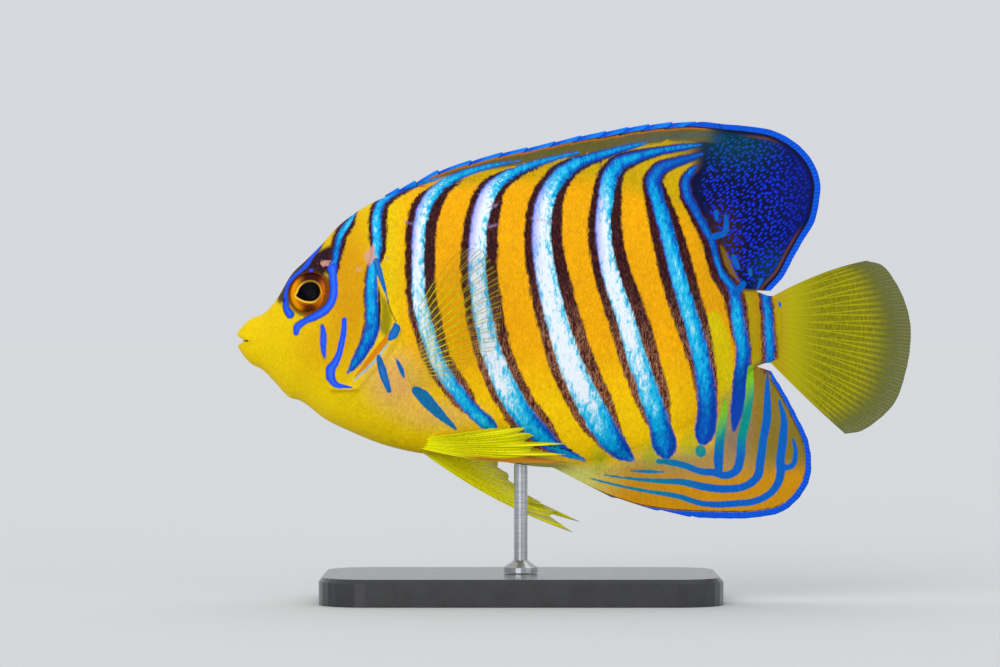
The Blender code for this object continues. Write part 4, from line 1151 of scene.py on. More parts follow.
def eye_material():
    nodes = Nodes("eyeball")
    grain = nodes.noise(nodes.place(), 2600.0, 3.0, 0.6)
    colour = nodes.shaded(nodes.colour("eye_colour"), nodes.fit(grain, 0.5, 0.75))
    return nodes.set(
        Base_Color=colour, Roughness=0.3, Coat_Weight=0.03, Coat_Roughness=0.02,
        Specular_IOR_Level=0.02,
    )


def base_material():
    """Black lacquered display base with a faint texture."""
    nodes = Nodes("stand_lacquer")
    grain = nodes.noise(nodes.place(), 260.0, 4.0, 0.6)
    fine = nodes.noise(nodes.place(), 2200.0, 2.0, 0.5)
    colour = nodes.ramp(grain, LACQUER)
    return nodes.set(
        Base_Color=colour, Roughness=nodes.fit(grain, 0.18, 0.2),
        Normal=nodes.bump(fine, 0.02 * MM, 0.25), Coat_Weight=0.4, Coat_Roughness=0.12,
    )


def rod_material():
    """Brushed steel, streaked round the rod."""
    nodes = Nodes("stand_steel")
    streaks = nodes.noise(nodes.scaled(nodes.place(), (1.0, 1.0, 30.0)), 180.0, 3.0, 0.6)
    colour = nodes.ramp(streaks, STEEL)
    return nodes.set(
        Base_Color=colour, Metallic=1.0, Roughness=nodes.fit(streaks, 0.2, 0.2),
        Normal=nodes.bump(streaks, 0.01 * MM, 0.3),
    )


# Skin and scales


def skin_loft():
    """A closed fine skin over the whole body, from the snout to the tail stalk."""
    stations = BODY_END * np.linspace(0, 1, SKIN_RINGS) ** 1.2
    angles = np.linspace(-math.pi / 2, math.pi / 2, SKIN_STEPS + 1)
    angles = np.concatenate([angles, angles[-2:0:-1]])
    sides = np.concatenate([-np.ones(SKIN_STEPS + 1), np.ones(SKIN_STEPS - 1)])
    share = 0.5 + 0.5 * np.sin(angles)
    rings = []
    for s in stations:
        here = np.full_like(share, s)
        low, high = belly_at(here) + SKIN_INSET, back_at(here) - SKIN_INSET
        out = half_body(here, share, -SKIN_INSET)
        rings.append(np.stack([here, sides * out, low + (high - low) * share], axis=-1))
    ring = len(angles)
    faces = [list(range(ring)), *ring_faces(len(rings), ring)]
    faces.append(list(range((len(rings) - 1) * ring, len(rings) * ring))[::-1])
    return np.concatenate(rings), faces


def lip(half):
    points = [mirrored(p, -1) for p in half[:0:-1]] + [np.array(p, float) for p in half]
    line = path(points)(np.linspace(0, 1, LIP_POINTS))
    middle = LIP_POINTS // 2
    radii = [LIP_RADIUS * (1 - 0.45 * (abs(i - middle) / middle) ** 2) for i in range(LIP_POINTS)]
    return tube(line, radii)


def cheek_spine(side):
    s, h = SPINE_ROOT
    start = np.array([s, side * (float(surface_y(s, h)) - 0.4), h])
    end_s = s + SPINE_LENGTH
    end = np.array([end_s, side * (float(surface_y(end_s, h)) + 0.5), h - 0.6])
    line = [start + (end - start) * t for t in (0, 0.35, 0.7, 1)]
    return tube(line, [SPINE_RADIUS, 0.95 * SPINE_RADIUS, 0.6 * SPINE_RADIUS, 0.2], 12)


def skin_parts():
    """What is added to the bare skin, and what is cut from it."""
    added, removed = [lip(UPPER_LIP), lip(LOWER_LIP)], [prism(MOUTH, 9.0)]
    for side in (-1, 1):
        centre = np.array([EYE_S, side * EYE_Y, EYE_H])
        axis = mirrored(EYE_AXIS, side)
        outwards = axis / np.linalg.norm(axis)
        added.append(torus(centre + outwards * RIM_RISE, axis, EYE_RADIUS - 0.3, RIM_TUBE))
        added.append(cheek_spine(side))
        removed.append(ellipsoid(centre, axis, EYE_RADIUS + SOCKET_GAP, EYE_DEPTH + SOCKET_GAP))
        for s, h, radius in NOSTRILS:
            middle = np.array([s, side * float(surface_y(s, h)), h])
            way = mirrored((-0.45, 1, 0.35), side)
            way = way / np.linalg.norm(way)
            added.append(torus(middle, way, radius + 0.3, 0.4, 24, 10))
            removed.append(tube([middle + way, middle - way * 0.9], [radius, 0.7 * radius], 16))
    return added, removed


def join_meshes(obj, others):
    """Puts the faces of the other objects in obj, and removes them."""
    skin = bmesh.new()
    skin.from_mesh(obj.data)
    for other in others:
        skin.from_mesh(other.data)
        bpy.data.objects.remove(other)
    skin.to_mesh(obj.data)
    skin.free()


def make_skin(material):
    points, faces = skin_loft()
    skin = helper("fish_skin", place(points), faces)
    added, removed = skin_parts()
    join_meshes(skin, [helper("added", place(p), f) for p, f in added])
    remesh(skin, SKIN_VOXEL)
    cut(skin, [helper("hole", place(p), f) for p, f in removed])
    remesh(skin, SKIN_VOXEL)
    smoothing = skin.modifiers.new("Smooth", "SMOOTH")
    smoothing.factor = 0.5
    smoothing.iterations = 2
    settle(skin)
    skin.data.shade_smooth()
    add_marks(skin.data, tint=0.0)
    skin.data.materials.append(material)
    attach(skin, "root")
    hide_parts("head", "trunk", "tail_stalk")
    return skin


def remesh(obj, voxel):
    modifier = obj.modifiers.new("Remesh", "REMESH")
    modifier.mode = "VOXEL"
    modifier.voxel_size = voxel * MM
    settle(obj)


def add_marks(mesh, tint, extra=None):
    """Stores every marking and painted shade on the mesh, for its material to read."""
    fish = unplace(positions(mesh))
    marks = markings(fish[:, 0], fish[:, 2])
    x, y = drawn(fish[:, 0], fish[:, 2])
    marks["tint"] = np.full(len(fish), tint) if np.isscalar(tint) else tint
    marks["blue_rim"] = np.clip(0.9 * (1 - ramp(x, 330, 345)) * (1 - 0.5 * ramp(y, 318, 330)), 0, 1)
    marks["spot_colour"] = np.tile(linear(DASH_BLUE), (len(fish), 1))
    marks.update(extra or {})
    for name, values in marks.items():
        store(mesh, name, values)


def scale_lattice(side):
    """Middles and sizes of the scales on one flank, smaller towards the breast, the tail and the fins."""
    rng = np.random.default_rng(11 + side)
    size_at = smooth([(27, 0.62), (45, 0.72), (70, 1), (115, 1), (140, 0.8), (161, 0.6)])
    centres, s, odd = [], 27.0, False
    while s < BODY_END - 3.5:
        size = float(size_at(s))
        row = SCALE_ROW * size
        low, high = float(belly_at(s)), float(back_at(s))
        bottom = max(low - 7, float(np.interp(s, *np.transpose(ANAL_MARGIN))) + 6) if s > 90 else low
        top = min(high + 7, float(np.interp(s, *np.transpose(DORSAL_MARGIN))) - 5.5)
        heights = np.arange(min(bottom, low + 0.3) + (row / 2 if odd else 0), max(top, high - 0.3), row)
        for h in heights:
            beyond = max(0.0, low - h, h - high)
            centres.append((s, h, size * (1 - 0.04 * beyond), beyond))
        s += SCALE_PITCH * 0.5 * size
        odd = not odd
    centres = np.array(centres)
    centres[:, :2] += rng.normal(0, 0.12, (len(centres), 2)) * centres[:, 2:3]
    s, h, _, beyond = centres.T
    share = (h - belly_at(s)) / (back_at(s) - belly_at(s))
    from_gill = s - gill_edge_at(share)
    bare = (from_gill < 0.8) | (s < 34 + rng.uniform(0, 22, len(s)))
    bare |= beyond > rng.uniform(2, 7, len(s))
    x, y = drawn(s, h)
    bare |= (x - SOFT_FRONT(y) > 5) & (y < 290) & (x > 690)
    return centres[~bare], rng


PLATE_OUTLINE = np.array([
    (1.0, 0.0), (0.64, 0.76), (0.0, 1.0), (-0.7, 0.82), (-1.0, 0.0), (-0.7, -0.82), (0.0, -1.0),
    (0.64, -0.76),
])
PLATE_BEVEL = 0.93


def plate_corners():
    """Local points of one scale as (along, across), and its faces with a hidden point below.

    Its top is a fan inside a narrow rim, so that only the rim catches the light differently.
    """
    sides = len(PLATE_OUTLINE)
    local = np.concatenate([PLATE_OUTLINE, PLATE_OUTLINE * PLATE_BEVEL, [(0, 0), (0, 0)]])
    middle, below = 2 * sides, 2 * sides + 1
    quads, triangles = [], []
    for k in range(sides):
        after = (k + 1) % sides
        quads.append([sides + k, k, after, sides + after])
        triangles.append([middle, sides + k, sides + after])
        triangles.append([after, k, below])
    return local, np.array(quads), np.array(triangles)


def make_scales(name, side, material, grounds, pieces=3):
    """The scales of one flank as closed plates, in a few pieces from head to tail."""
    centres, rng = scale_lattice(side)
    graph = bpy.context.evaluated_depsgraph_get()
    trees = [BVHTree.FromObject(ground, graph) for ground in grounds]
    for k, part in enumerate(np.array_split(centres, pieces)):
        make_scale_piece(f"{name}_{k + 1}", side, part, rng, material, trees)


def land(trees, s, h, side, beyond):
    """Where the outermost of the surfaces lies at (s, h), its direction outwards, and if there is one."""
    start = place(np.stack([s, np.full_like(s, 40.0 * side), h], axis=-1))
    way = Vector((0, -side, 0))
    points, normals = np.zeros_like(start), np.zeros_like(start)
    found = np.zeros(len(start), bool)
    for i, origin in enumerate(start.tolist()):
        nearest = 1.0
        for tree in trees if beyond[i] else trees[:1]:
            place_at, normal, _, distance = tree.ray_cast(origin, way, nearest)
            if place_at is not None:
                points[i], normals[i], found[i], nearest = place_at, normal, True, distance
    return points, normals, found


def make_scale_piece(name, side, centres, rng, material, trees):
    local, quads, triangles = plate_corners()
    count, corners = len(centres), len(local)
    length = SCALE_PITCH * SCALE_LENGTH * centres[:, 2] * rng.uniform(0.88, 1.12, count)
    height = SCALE_ROW * SCALE_HEIGHT * centres[:, 2] * rng.uniform(0.88, 1.12, count)
    turn = rng.normal(0, 0.16, count)[:, None]
    along, up = local[None, :, 0] * length[:, None], local[None, :, 1] * height[:, None]
    s = (centres[:, None, 0] + along * np.cos(turn) - up * np.sin(turn)).ravel()
    h = (centres[:, None, 1] + along * np.sin(turn) + up * np.cos(turn)).ravel()
    near_edge = (h > back_at(s) - 2) | (h < belly_at(s) + 2)
    points, normal, found = land(trees, s, h, side, near_edge)
    found &= normal[:, 1] * side > 0.12
    rise = SCALE_SINK * (local[:, 0] - 1) / 2 + SCALE_LIFT * (local[:, 0] + 1) / 2 + SCALE_REST
    rise = np.where(np.arange(corners) == corners - 1, -SCALE_DEPTH, rise)
    fade = (0.2 + 0.8 * ramp(centres[:, 0], 40, 75)) * centres[:, 2]
    rise = rise[None, :] * fade[:, None] * rng.uniform(0.85, 1.15, (count, 1))
    points = points + normal * rise.ravel()[:, None] * MM
    whole = found.reshape(count, corners).all(axis=1)
    points = points.reshape(count, corners, 3)[whole].reshape(-1, 3)
    centres = centres[whole]
    count = len(centres)
    first = np.arange(count)[:, None, None] * corners
    if side > 0:
        quads, triangles = quads[:, ::-1], triangles[:, ::-1]
    quads = (quads[None] + first).reshape(-1, 4)
    mesh = quick_mesh(name, points, quads, (triangles[None] + first).reshape(-1, 3))
    plate_uv(mesh, centres, side, local)
    obj = add_object(name, mesh)
    mesh.shade_smooth()
    add_marks(mesh, tint=np.repeat(rng.normal(0, 0.04, count), corners))
    mesh.materials.append(material)
    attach(obj, "root")
    return obj


def plate_uv(mesh, centres, side, local):
    """Each scale is a small patch at its root's place on an unwrap round the body."""
    spread = 0.0015
    s, h = centres[:, 0], centres[:, 1]
    share = np.clip((h - belly_at(s)) / (back_at(s) - belly_at(s)), 0, 1)
    round_body = 0.5 + np.arcsin(2 * share - 1) / math.pi
    u = 0.02 + 0.46 * s / BODY_END + (0.5 if side > 0 else 0)
    v = 0.02 + 0.96 * round_body
    patch_u = (u[:, None] + local[None, :, 0] * spread).ravel()
    patch_v = (v[:, None] + local[None, :, 1] * spread).ravel()
    index = np.empty(len(mesh.loops), np.int32)
    mesh.loops.foreach_get("vertex_index", index)
    layer = mesh.uv_layers.new(name="OFBake")
    layer.data.foreach_set("uv", np.stack([patch_u[index], patch_v[index]], axis=-1).ravel())


# Fins


def sunk_root(line_at, start, end, depth):
    """The line on the back or belly that a fin grows from, sunk into the body by depth."""
    sign = 1 if float(line_at(end)) > 0 else -1

    def at(u):
        s = start + (end - start) * np.asarray(u, float)
        slope = line_at(s + 0.5) - line_at(s - 0.5)
        size = np.hypot(1, slope)
        return np.stack([
            s + sign * slope * depth / size, np.zeros_like(s), line_at(s) - sign * depth / size,
        ], axis=-1)

    return at


def sunk_base(root):
    """Half the thickness of a fin along its root, a little less than the body is thick there."""

    def at(u):
        s, _, h = root(u).T
        return 0.88 * surface_y(s, h)

    return at


def edge_inset(ray, notch, clefts, flags):
    """How far short of its ray tips the edge of a fin ends, at each place counted in rays."""
    gap = np.floor(ray)
    part = ray - gap
    if flags:
        return notch * (1 - part**0.7) + 0.3 * ramp(part, 0.9, 1.0)
    inset = np.zeros_like(ray)
    for k in range(int(gap.max()) + 1):
        after, before = (clefts or {}).get(k, (notch, 0.2 * notch))
        here = gap == k
        inset[here] = np.interp(part[here], [0, 0.24, 0.76, 1], [0, after, before, 0])
    return inset


def fin_grid(root, tip, rays, rows, across, base, edge, ridge, middle=None, notch=0.0, flags=False,
             clefts=None, camber=0.0, columns=12, ripple=0.12, seed=1, split=0.45, flare=6.0,
             crest_width=0.1, twigs=False, round_base=False, strands=1, thin_end=False):
    """Points and facts of a fine fin: ridged rays that fork, thin skin between, a notched edge.

    base, half the thickness at the root, is a number or a function of u, and flare is how fast the
    fin thins away from it. split is where the rays fork; with twigs they fork once more. With
    round_base the fin is thinner at both ends of its base, and with thin_end at its last ray. With
    strands each ray is a bundle of so many fine ones.
    """
    rng = np.random.default_rng(seed)
    across = np.array(across, float) / np.linalg.norm(across)
    u = np.linspace(0, 1, (rays - 1) * columns + 1)
    ray = u * (rays - 1)
    offset = strands * ray - np.round(strands * ray)
    v = np.linspace(0, 1, rows + 1)
    start, end = root(u), tip(u)
    length = np.linalg.norm(end - start, axis=1)
    inset = edge_inset(ray, notch, clefts, flags) + 0.06 * np.abs(np.sin(math.pi * ray))
    inset = np.minimum(inset, 0.5 * length)
    end = end - (end - start) * (inset / length)[:, None]
    centre = start[:, None] + (end - start)[:, None] * v[None, :, None]
    if middle is not None:
        bend = middle(u) - (start + end) / 2
        centre = centre + 4 * (v * (1 - v))[None, :, None] * bend[:, None]
    bow = camber * v[None, :] ** 2 * np.sin(math.pi * u)[:, None]
    waves = sum(
        rng.normal(0, 1) * np.sin(2 * math.pi * (k * u[:, None] + rng.uniform() + 0.3 * v[None, :]))
        for k in (1.5, 2.5, 4)
    )
    swell = ripple * ramp(u, 0, 0.12)[:, None] * waves * v[None, :] ** 1.5
    centre = centre + across * (bow + swell)[..., None]
    fork = (0.25 if twigs else 0.2) * ramp(v, split, 0.75 if twigs else 1.0)[None, :]
    off = np.abs(np.abs(offset)[:, None] - fork)
    if twigs:
        off = np.abs(off - 0.12 * ramp(v, 0.55, 1.0)[None, :])
    crest = np.exp(-((off / crest_width) ** 2))
    thick = (base(u) if callable(base) else np.full_like(u, base)) - edge
    if round_base:
        thick = thick * np.sqrt(np.sin(math.pi * (0.02 + 0.96 * u)))
    half = edge + thick[:, None] * (1 - v[None, :]) ** flare + ridge * crest * (1 - 0.65 * v[None, :])
    if thin_end:
        half = half * (1 - 0.94 * ramp(ray, rays - 1.4, rays - 1))[:, None]
    facts = {
        "ray": crest.ravel(), "along": np.broadcast_to(v, crest.shape).ravel(),
        "ray_across": np.broadcast_to(ray[:, None] * 1.0, crest.shape).ravel(),
        "ray_along": (v[None, :] * length[:, None]).ravel(),
    }
    return centre, half, across, facts


def fin_shell(name, centre, half, across):
    """A closed shell of two faces and a rim around the fin's middle sheet."""
    columns, rows = half.shape
    left = centre - across * half[..., None]
    right = centre + across * half[..., None]
    points = np.concatenate([left.reshape(-1, 3), right.reshape(-1, 3)])
    index = np.arange(columns * rows).reshape(columns, rows)
    a, b = index[:-1, :-1], index[1:, :-1]
    c, d = index[1:, 1:], index[:-1, 1:]
    face = np.stack([a, b, c, d], axis=-1).reshape(-1, 4)
    total = columns * rows
    rim = np.concatenate([index[:, 0], index[-1, 1:], index[-2::-1, -1], index[0, -2:0:-1]])
    after = np.roll(rim, -1)
    walls = np.stack([rim, rim + total, after + total, after], axis=-1)
    quads = np.concatenate([face, face[:, ::-1] + total, walls])
    mesh = quick_mesh(name, place(points), quads)
    outward(mesh)
    mesh.shade_smooth()
    return mesh


def finish_fin(name, mesh, material, node, facts, marks=None):
    obj = add_object(name, mesh)
    doubled = {key: np.concatenate([value, value]) for key, value in facts.items()}
    if marks is None:
        for key, value in doubled.items():
            store(mesh, key, value)
    else:
        add_marks(mesh, 0.0, extra=marks(mesh, doubled))
    mesh.materials.append(material)
    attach(obj, "root")
    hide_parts(node)
    return obj


def flat(points):
    return [(s, 0, h) for s, h in points]


def edge_distance(mesh, margin):
    """Distance in millimetres of each vertex from the fin's outer edge."""
    fish = unplace(positions(mesh))
    line = [(s, h, 0.0) for s, h in margin]
    inside, share, _ = track(fish[:, [0, 2]], line)
    return -inside, share


def spiny_dorsal_marks(mesh, facts):
    """Blue flags along the edge, a thin dark and an orange line, and an olive strip below them."""
    fish = unplace(positions(mesh))
    s = fish[:, 0]
    marks = markings(s, fish[:, 2])
    distance, _ = edge_distance(mesh, DORSAL_SPINE_TIPS)
    part = facts["ray_across"] - np.floor(facts["ray_across"])
    rear = ramp(s, 92, 112)
    flag = 1.5 + 0.35 * rear - 0.35 * part - distance
    colours = olive_strip(marks["ground"], s, distance)
    line = 1 - ramp(np.abs(flag + 0.3 + 0.3 * rear), 0.1, 0.4)
    colours = blend(colours, FIN_LINE, 0.9 * line * ramp(s, 46, 60))
    black = np.where(rear > 0.05, 0.17 * rear - np.abs(flag + 0.16), -1)
    seam = np.where(flag > -0.2, 0.1 - 5.0 * np.minimum(part, 1 - part), -1)
    shade = 0.8 * (1 - ramp(part, 0.1, 0.6))
    return {
        "ground": colours, "blue": np.maximum(flag, -5), "blue_rim": np.zeros(len(flag)),
        "dark": np.maximum(np.maximum(black, seam), marks["dark"]),
        "line": blend(np.tile(linear(FLAG_BLUE), (len(s), 1)), FLAG_SHADE, shade),
    }


def olive_strip(colours, s, distance):
    """Adds the olive strip below the edge of the dorsal fin, bluish grey in streaks towards the rear."""
    depth = smooth([(50, 0.6), (58, 1.4), (78, 3.6), (95, 5.0), (136, 4.8)])(s)
    strip = (1 - ramp(distance - depth, 0.4, 1.6)) * ramp(s, 48, 60)
    colours = blend(colours, FIN_OLIVE, strip)
    streaks = 0.5 + 0.5 * np.sin(distance * 2.6 + 0.12 * s)
    return blend(colours, FIN_GREY, 0.8 * ramp(s, 104, 128) * strip * streaks)


def painted_edge_shade(facts):
    """A fin border's blue, darker in narrow stripes of painted shade between the branches of its rays."""
    # Painted shade: narrow darker stripes in the grooves between the ray branches.
    groove_shade = 0.5 + 0.5 * np.cos(8 * math.pi * facts["ray_across"])
    return blend(np.tile(linear(EDGE_BLUE), (len(groove_shade), 1)), EDGE_SHADE, 0.8 * groove_shade)


def soft_dorsal_marks(mesh, facts):
    """A blue border over a dark and a rusty line, and the field of small blue dashes."""
    fish = unplace(positions(mesh))
    s = fish[:, 0]
    marks = markings(s, fish[:, 2])
    distance, share = edge_distance(mesh, [(130, 61.75), (136, 61.8), *DORSAL_SOFT_EDGE])
    border = 1.5 + 0.4 * np.sin(math.pi * np.clip(share - 0.08, 0, 1)) - distance
    x, y = drawn(s, fish[:, 2])
    front = (1 - ramp(x, 702, 732))[:, None]
    colours = olive_strip(marks["ground"], s, distance) * front + marks["ground"] * (1 - front)
    teal = 0.8 * ramp(x, 700, 726) * (1 - ramp(y, 135, 190)) * (1 - ramp(x, 740, 800))
    colours = blend(colours, TEAL_DARK, teal)
    deep = ramp(x, 706, 740)
    colours = blend(colours, NAVY, 0.85 * ramp(border, -1.4, -0.3) * deep)
    rust = (1 - ramp(np.abs(distance - 2.9), 0.15, 0.5)) * (1 - ramp(share, 0.3, 0.4)) * ramp(x, 735, 765)
    rust += (1 - ramp(np.abs(distance - 2.7), 0.15, 0.5)) * ramp(share, 0.74, 0.82)
    colours = blend(colours, RUST, 0.8 * rust)
    colours = blend(colours, FIN_LINE, (1 - ramp(np.abs(border + 0.6), 0.1, 0.4)) * (1 - ramp(x, 698, 716)))
    dim = (1 - ramp(y, 130, 190)) * (1 - ramp(x, 740, 800))
    black = 0.2 - np.abs(border + 0.18)
    return {
        "ground": colours, "blue": np.maximum(marks["blue"], border),
        "spots": marks["spots"] * ramp(distance, 2.8, 4.0),
        # The border's blue, with painted shade between its rays.
        "line": np.where((border > marks["blue"])[:, None], painted_edge_shade(facts), marks["line"]),
        "spot_colour": blend(np.tile(linear(FIN_DASH), (len(x), 1)), DIM_DASH, dim),
        "blue_rim": np.zeros(len(x)), "dark": np.maximum(black, marks["dark"]),
    }


def anal_marks(mesh, facts):
    """A blue border inside a thin dark line, beside the lines shared with the body."""
    fish = unplace(positions(mesh))
    s = fish[:, 0]
    marks = markings(s, fish[:, 2])
    margin = [(88, -40.4), (97, -43.6), *ANAL_SPINE_TIPS, *ANAL_EDGE]
    distance, _ = edge_distance(mesh, margin)
    rise = 1 - ramp(fish[:, 2], -50, -20)
    border = 0.3 + (1.0 + 0.7 * rise) * ramp(s, 116, 140) - distance
    black = 0.15 - np.abs(border + 0.15)
    # The border's blue, with painted shade between its rays.
    colours = np.where((border > marks["blue"])[:, None], painted_edge_shade(facts), marks["line"])
    return {
        "blue": np.maximum(marks["blue"], border), "dark": np.maximum(black, marks["dark"]),
        "blue_rim": np.zeros(len(border)), "line": colours,
    }


def make_dorsal_fins(material):
    tips = path(flat(DORSAL_SPINE_TIPS), by_length=False)
    root = sunk_root(back_at, DORSAL_START, DORSAL_JOIN + 0.8, FIN_SINK)
    centre, half, across, facts = fin_grid(
        root, tips, len(DORSAL_SPINE_TIPS), 52, (0, 1, 0), sunk_base(root), THIN_EDGE, 0.06,
        notch=0.85, flags=True, columns=18, seed=3, split=2.0, ripple=0.0, crest_width=0.06,
        flare=7.0, thin_end=True,
    )
    mesh = fin_shell("fin_dorsal_front", centre, half, across)
    front = finish_fin("fin_dorsal_front", mesh, material, "dorsal_fin_spiny", facts,
                       spiny_dorsal_marks)
    root = sunk_root(back_at, DORSAL_JOIN - 2.4, DORSAL_END, FIN_SINK)
    centre, half, across, facts = fin_grid(
        root, path(flat([(133.2, 60.9), (136.6, 61.6), *DORSAL_SOFT_EDGE[1:]])), DORSAL_SOFT_RAYS, 90,
        (0, 1, 0), sunk_base(root), THIN_EDGE, 0.07, camber=1.2, seed=4, twigs=True, columns=14,
        crest_width=0.08, flare=7.0,
    )
    mesh = fin_shell("fin_dorsal_rear", centre, half, across)
    rear = finish_fin("fin_dorsal_rear", mesh, material, "dorsal_fin_soft", facts,
                      soft_dorsal_marks)
    return [front, rear]


def make_anal_fin(material):
    tips = path(flat(ANAL_EDGE))
    spines = len(ANAL_SPINE_TIPS)
    rays = spines + ANAL_SOFT_RAYS
    share = (spines - 0.5) / (rays - 1)
    last = spines / (rays - 1)
    front = path(flat([*ANAL_SPINE_TIPS, ANAL_EDGE[0]]), by_length=False)
    front_root = sunk_root(belly_at, ANAL_START, ANAL_JOIN, FIN_SINK)
    rear_root = sunk_root(belly_at, ANAL_JOIN, ANAL_END, FIN_SINK)

    def tip(u):
        return np.where((u < last)[:, None], front(u / last), tips((u - last) / (1 - last)))

    def root(u):
        rear = rear_root((u - share) / (1 - share))
        return np.where((u < share)[:, None], front_root(u / share), rear)

    centre, half, across, facts = fin_grid(
        root, tip, rays, 70, (0, 1, 0), sunk_base(root), THIN_EDGE, 0.07, notch=0.12,
        clefts=ANAL_CLEFTS, camber=-1.0, seed=5, twigs=True, columns=14, crest_width=0.08, flare=7.0,
    )
    mesh = fin_shell("fin_anal", centre, half, across)
    return finish_fin("fin_anal", mesh, material, "anal_fin", facts, anal_marks)


def make_tail_fin(material):
    top, bottom = float(back_at(BODY_END)) - 0.5, float(belly_at(BODY_END)) + 0.5
    root, tip = path([(158.0, 0, top), (158.0, 0, bottom)]), path(flat(TAIL_EDGE))

    def middle(u):
        bow = np.stack([0 * u, 0 * u, 1.3 * (1 - u) ** 4 - 0.4 * u**6], axis=-1)
        return (root(u) + tip(u)) / 2 + bow

    centre, half, across, facts = fin_grid(
        root, tip, TAIL_RAYS, 84, (0, 1, 0), 1.65, 0.12, 0.14,
        middle=middle, camber=1.5, columns=20, seed=6, split=0.2, flare=2.6, twigs=True,
        crest_width=0.06, round_base=True,
    )
    s = centre[..., 0].ravel()
    facts["rim"] = 0.9 * ramp(facts["along"], 0.62, 0.9)
    facts["warm"] = 0.25 * (1 - ramp(s, 161, 165))
    facts["clear"] = 0.35 * ramp(facts["along"], 0.72, 0.97)
    facts["along"] = np.clip((s - 162) / 34, 0, 1)
    mesh = fin_shell("fin_tail", centre, half, across)
    finish_fin("fin_tail", mesh, material, "tail_fin", facts)


def make_pectoral_fins(material):
    spread = math.radians(PECTORAL_SPREAD)
    s, h = PECTORAL_ROOT
    for name, node, side in (
        ("fin_pectoral_left", "pectoral_fin_left", -1), ("fin_pectoral_right", "pectoral_fin_right", 1),
    ):
        y = side * (float(surface_y(s, h)) - 1.2)

        def lay(points, curl, side=side, y=y):
            return [
                (s + back, y + side * (back * math.tan(spread) - curl * (back / 30) ** 2), h + up)
                for back, up in points
            ]

        root, tip = path(lay(PECTORAL_ROOT_LINE, 0)), path(lay(PECTORAL_EDGE, PECTORAL_CURL))

        def middle(u, root=root, tip=tip):
            bow = np.stack([0 * u, 0 * u, PECTORAL_BOW * (1 - u)], axis=-1)
            return (root(u) + tip(u)) / 2 + bow

        across = (-math.sin(spread), math.cos(spread) * side, 0.0)
        centre, half, across, facts = fin_grid(
            root, tip, PECTORAL_RAYS, 48, across, 0.85, 0.07, 0.11, middle=middle, camber=0.8,
            columns=16, seed=7 + side, split=0.3, ripple=0.15, flare=4.5, crest_width=0.07,
        )
        along = facts["along"]
        facts["rim"] = 0.35 * ramp(along, 0.5, 0.8)
        facts["warm"] = 0.3 * ramp(along, 0.45, 0.8)
        facts["ray"] = facts["ray"] * (1 - 0.45 * ramp(along, 0.4, 0.7))
        facts["clear"] = 0.75 + 0.21 * ramp(along, 0.0, 0.12)
        mesh = fin_shell(name, centre, half, across)
        finish_fin(name, mesh, material, node, facts)


def make_pelvic_fins(material):
    for name, node, rays, across, clefts, seed in (
        ("fin_pelvic_left", "pelvic_fin_left", PELVIC_LEFT, (0.1, -1, -0.35), PELVIC_CLEFTS_LEFT, 12),
        ("fin_pelvic_right", "pelvic_fin_right", PELVIC_RIGHT, (0.2, 1, -0.3), PELVIC_CLEFTS_RIGHT, 13),
    ):
        root, middle, tip = (path([ray[k] for ray in rays], by_length=False) for k in range(3))
        centre, half, across, facts = fin_grid(
            root, tip, len(rays), 64, across, 0.85, 0.12, 0.14, middle=middle, notch=2.5, clefts=clefts,
            columns=30, seed=seed, split=0.35, ripple=0.1, flare=3.0, strands=3, crest_width=0.12,
        )
        left = name.endswith("left")
        facts["rim"] = 0.3 * ramp(facts["along"], 0.8, 1.0)
        facts["warm"] = 0.9 * (facts["ray_across"] < 0.45) * ramp(facts["along"], 0.3, 0.5) * left
        facts["clear"] = (0.1 if left else 0.35) * ramp(facts["along"], 0.35, 0.9)
        mesh = fin_shell(name, centre, half, across)
        finish_fin(name, mesh, material, node, facts)


# Eyes


def eye_colours(back, up):
    """Colour of the eye at a place behind and above its middle, in millimetres."""
    x, y = back / UNIT, -up / UNIT
    points = np.stack([x, y], axis=-1)
    radius = np.hypot(x, y) / 20.5
    turn = np.arctan2(-y, x)
    rings = 0.5 + 0.5 * np.sin(radius * 34 + 1.5 * np.sin(3 * turn))
    colours = np.tile(linear(EYE_BROWN), (len(x), 1))
    colours = blend(colours, EYE_GOLD, 0.75 * rings * (1 - 0.8 * np.abs(np.sin(turn)) ** 2))
    colours = blend(colours, EYE_FRONT, ramp(radius, 0.62, 0.8) * ramp(-x, 4, 14))
    colours = blend(colours, EYE_REAR, ramp(radius, 0.6, 0.8) * ramp(x, 4, 14))
    colours = blend(colours, EYE_RED, ramp(radius, 0.86, 0.97) * ramp(x, 6, 15))
    colours = blend(colours, EYE_TOP, 0.95 * spot(points, 2, -16, 13, 8.5, 1.2))
    colours = blend(colours, EYE_LOW, 0.9 * spot(points, 0, 16.5, 6.5, 6, 1.2))
    colours = blend(colours, EYE_RIM, ramp(radius, 0.98, 1.06))
    pupil, _, _ = track(points, PUPIL_LINE)
    gold = (1 - ramp(np.abs(pupil + 1.0), 0.4, 1.5)) * (0.3 + 0.7 * ramp(y - 1.2 * x, -8, 10))
    colours = blend(colours, PUPIL_RING, gold)
    return blend(colours, PUPIL, ramp(pupil, -0.7, 0.4))


def make_eyes(material):
    for name, node, side in (("eyeball_left", "eye_left", -1), ("eyeball_right", "eye_right", 1)):
        centre = np.array([EYE_S, side * EYE_Y, EYE_H])
        axis = mirrored(EYE_AXIS, side)
        points, faces = ellipsoid(centre, axis, EYE_RADIUS, EYE_DEPTH, 130, 120)
        eye = helper(name, place(points), faces)
        eye.data.shade_smooth()
        fish = unplace(positions(eye.data))
        middle_s, middle_h = undrawn(*EYE_DRAWN)
        store(eye.data, "eye_colour", eye_colours(fish[:, 0] - middle_s, fish[:, 2] - middle_h))
        eye.data.materials.append(material)
        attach(eye, "root")
        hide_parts(node)


# Stand and studio


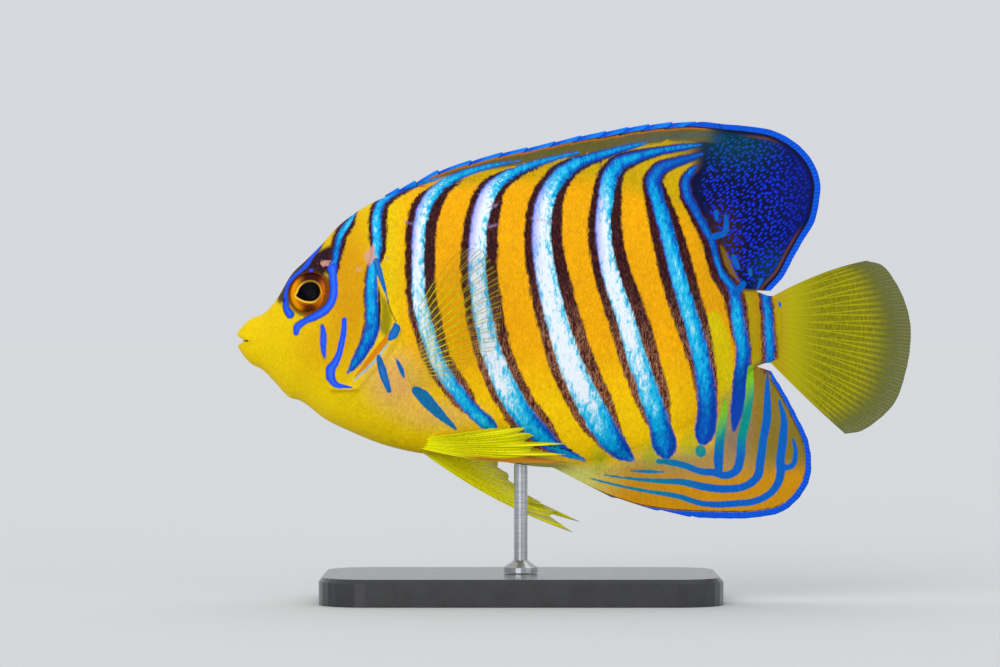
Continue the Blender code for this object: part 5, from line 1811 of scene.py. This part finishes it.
def dress_stand(nodes):
    for name, material in (("stand_base", base_material()), ("stand_rod", rod_material())):
        nodes[name].material_slots[0].material = material


def floor_material():
    """Pale paper that looks nearly as bright as the background in this light."""
    return Nodes("floor_paper").set(Base_Color=FLOOR_GREY, Roughness=0.9)


def make_floor():
    size = FLOOR_REACH
    mesh = make_mesh("floor", [(-size, -size, 0), (size, -size, 0), (size, size, 0), (-size, size, 0)],
                     [[0, 1, 2, 3]])
    floor = add_object("floor", mesh)
    mesh.materials.append(floor_material())


def add_light(name, towards, strength, angle, colour=(1, 1, 1)):
    """Soft far light from a direction, as wide as the angle in degrees."""
    data = bpy.data.lights.new(name, "SUN")
    data.angle = math.radians(angle)
    data.energy = strength
    data.color = colour
    light = bpy.data.objects.new(name, data)
    bpy.context.scene.collection.objects.link(light)
    light.rotation_euler = Vector(towards).to_track_quat("Z", "Y").to_euler()


def make_studio():
    scene = bpy.context.scene
    scene.view_settings.view_transform = "Standard"
    world = bpy.data.worlds.new("studio")
    world.use_nodes = True
    sky = world.node_tree.nodes["Background"]
    sky.inputs["Color"].default_value = (0.93, 0.96, 1.0, 1)
    sky.inputs["Strength"].default_value = 0.72
    scene.world = world
    add_light("key", (-0.59, -1.1, 0.92), 0.62, 42, (1, 0.98, 0.95))
    add_light("front", (-0.39, -1.4, 0.42), 0.5, 33)
    add_light("fill", (0.91, -0.9, 0.27), 0.37, 49, (0.95, 0.97, 1))
    add_light("back", (0.21, 1.0, 1.92), 0.6, 49)
    add_light("glint", (-0.24, -1.3, 0.24), 0.07, 1.3)
    make_floor()


def make_camera():
    """The photo looks at the fish square from its left side."""
    middle_s, middle_h = undrawn(PHOTO_WIDTH / 2, PHOTO_HEIGHT / 2)
    data = bpy.data.cameras.new("camera")
    data.sensor_width = SENSOR
    data.lens = SENSOR * CAMERA_DISTANCE / (PHOTO_WIDTH * UNIT * MM)
    camera = bpy.data.objects.new("camera", data)
    bpy.context.scene.collection.objects.link(camera)
    along, up = (middle_s - TOTAL_LENGTH / 2) * MM, (middle_h + AXIS_HEIGHT) * MM
    camera.location = (along, -CAMERA_DISTANCE, up)
    camera.rotation_euler = (math.pi / 2, 0, 0)
    bpy.context.scene.camera = camera


def main():
    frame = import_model()
    make_camera()
    make_studio()
    hide = hide_material("fish_hide")
    fin_hide = hide_material("fin_hide", fibre=0.5, rough=0.5, bump=0.03)
    grounds = [make_skin(hide), *make_dorsal_fins(fin_hide), make_anal_fin(fin_hide)]
    make_scales("scales_left", -1, hide, grounds)
    make_scales("scales_right", 1, hide, grounds)
    make_tail_fin(fin_material("tail_fin_skin", glow=0.8))
    make_pelvic_fins(fin_material("pelvic_fin_skin", glow=1.32))
    make_pectoral_fins(fin_material("pectoral_fin_skin", ray_clear=0.35))
    make_eyes(eye_material())
    dress_stand(frame["nodes"])


main()
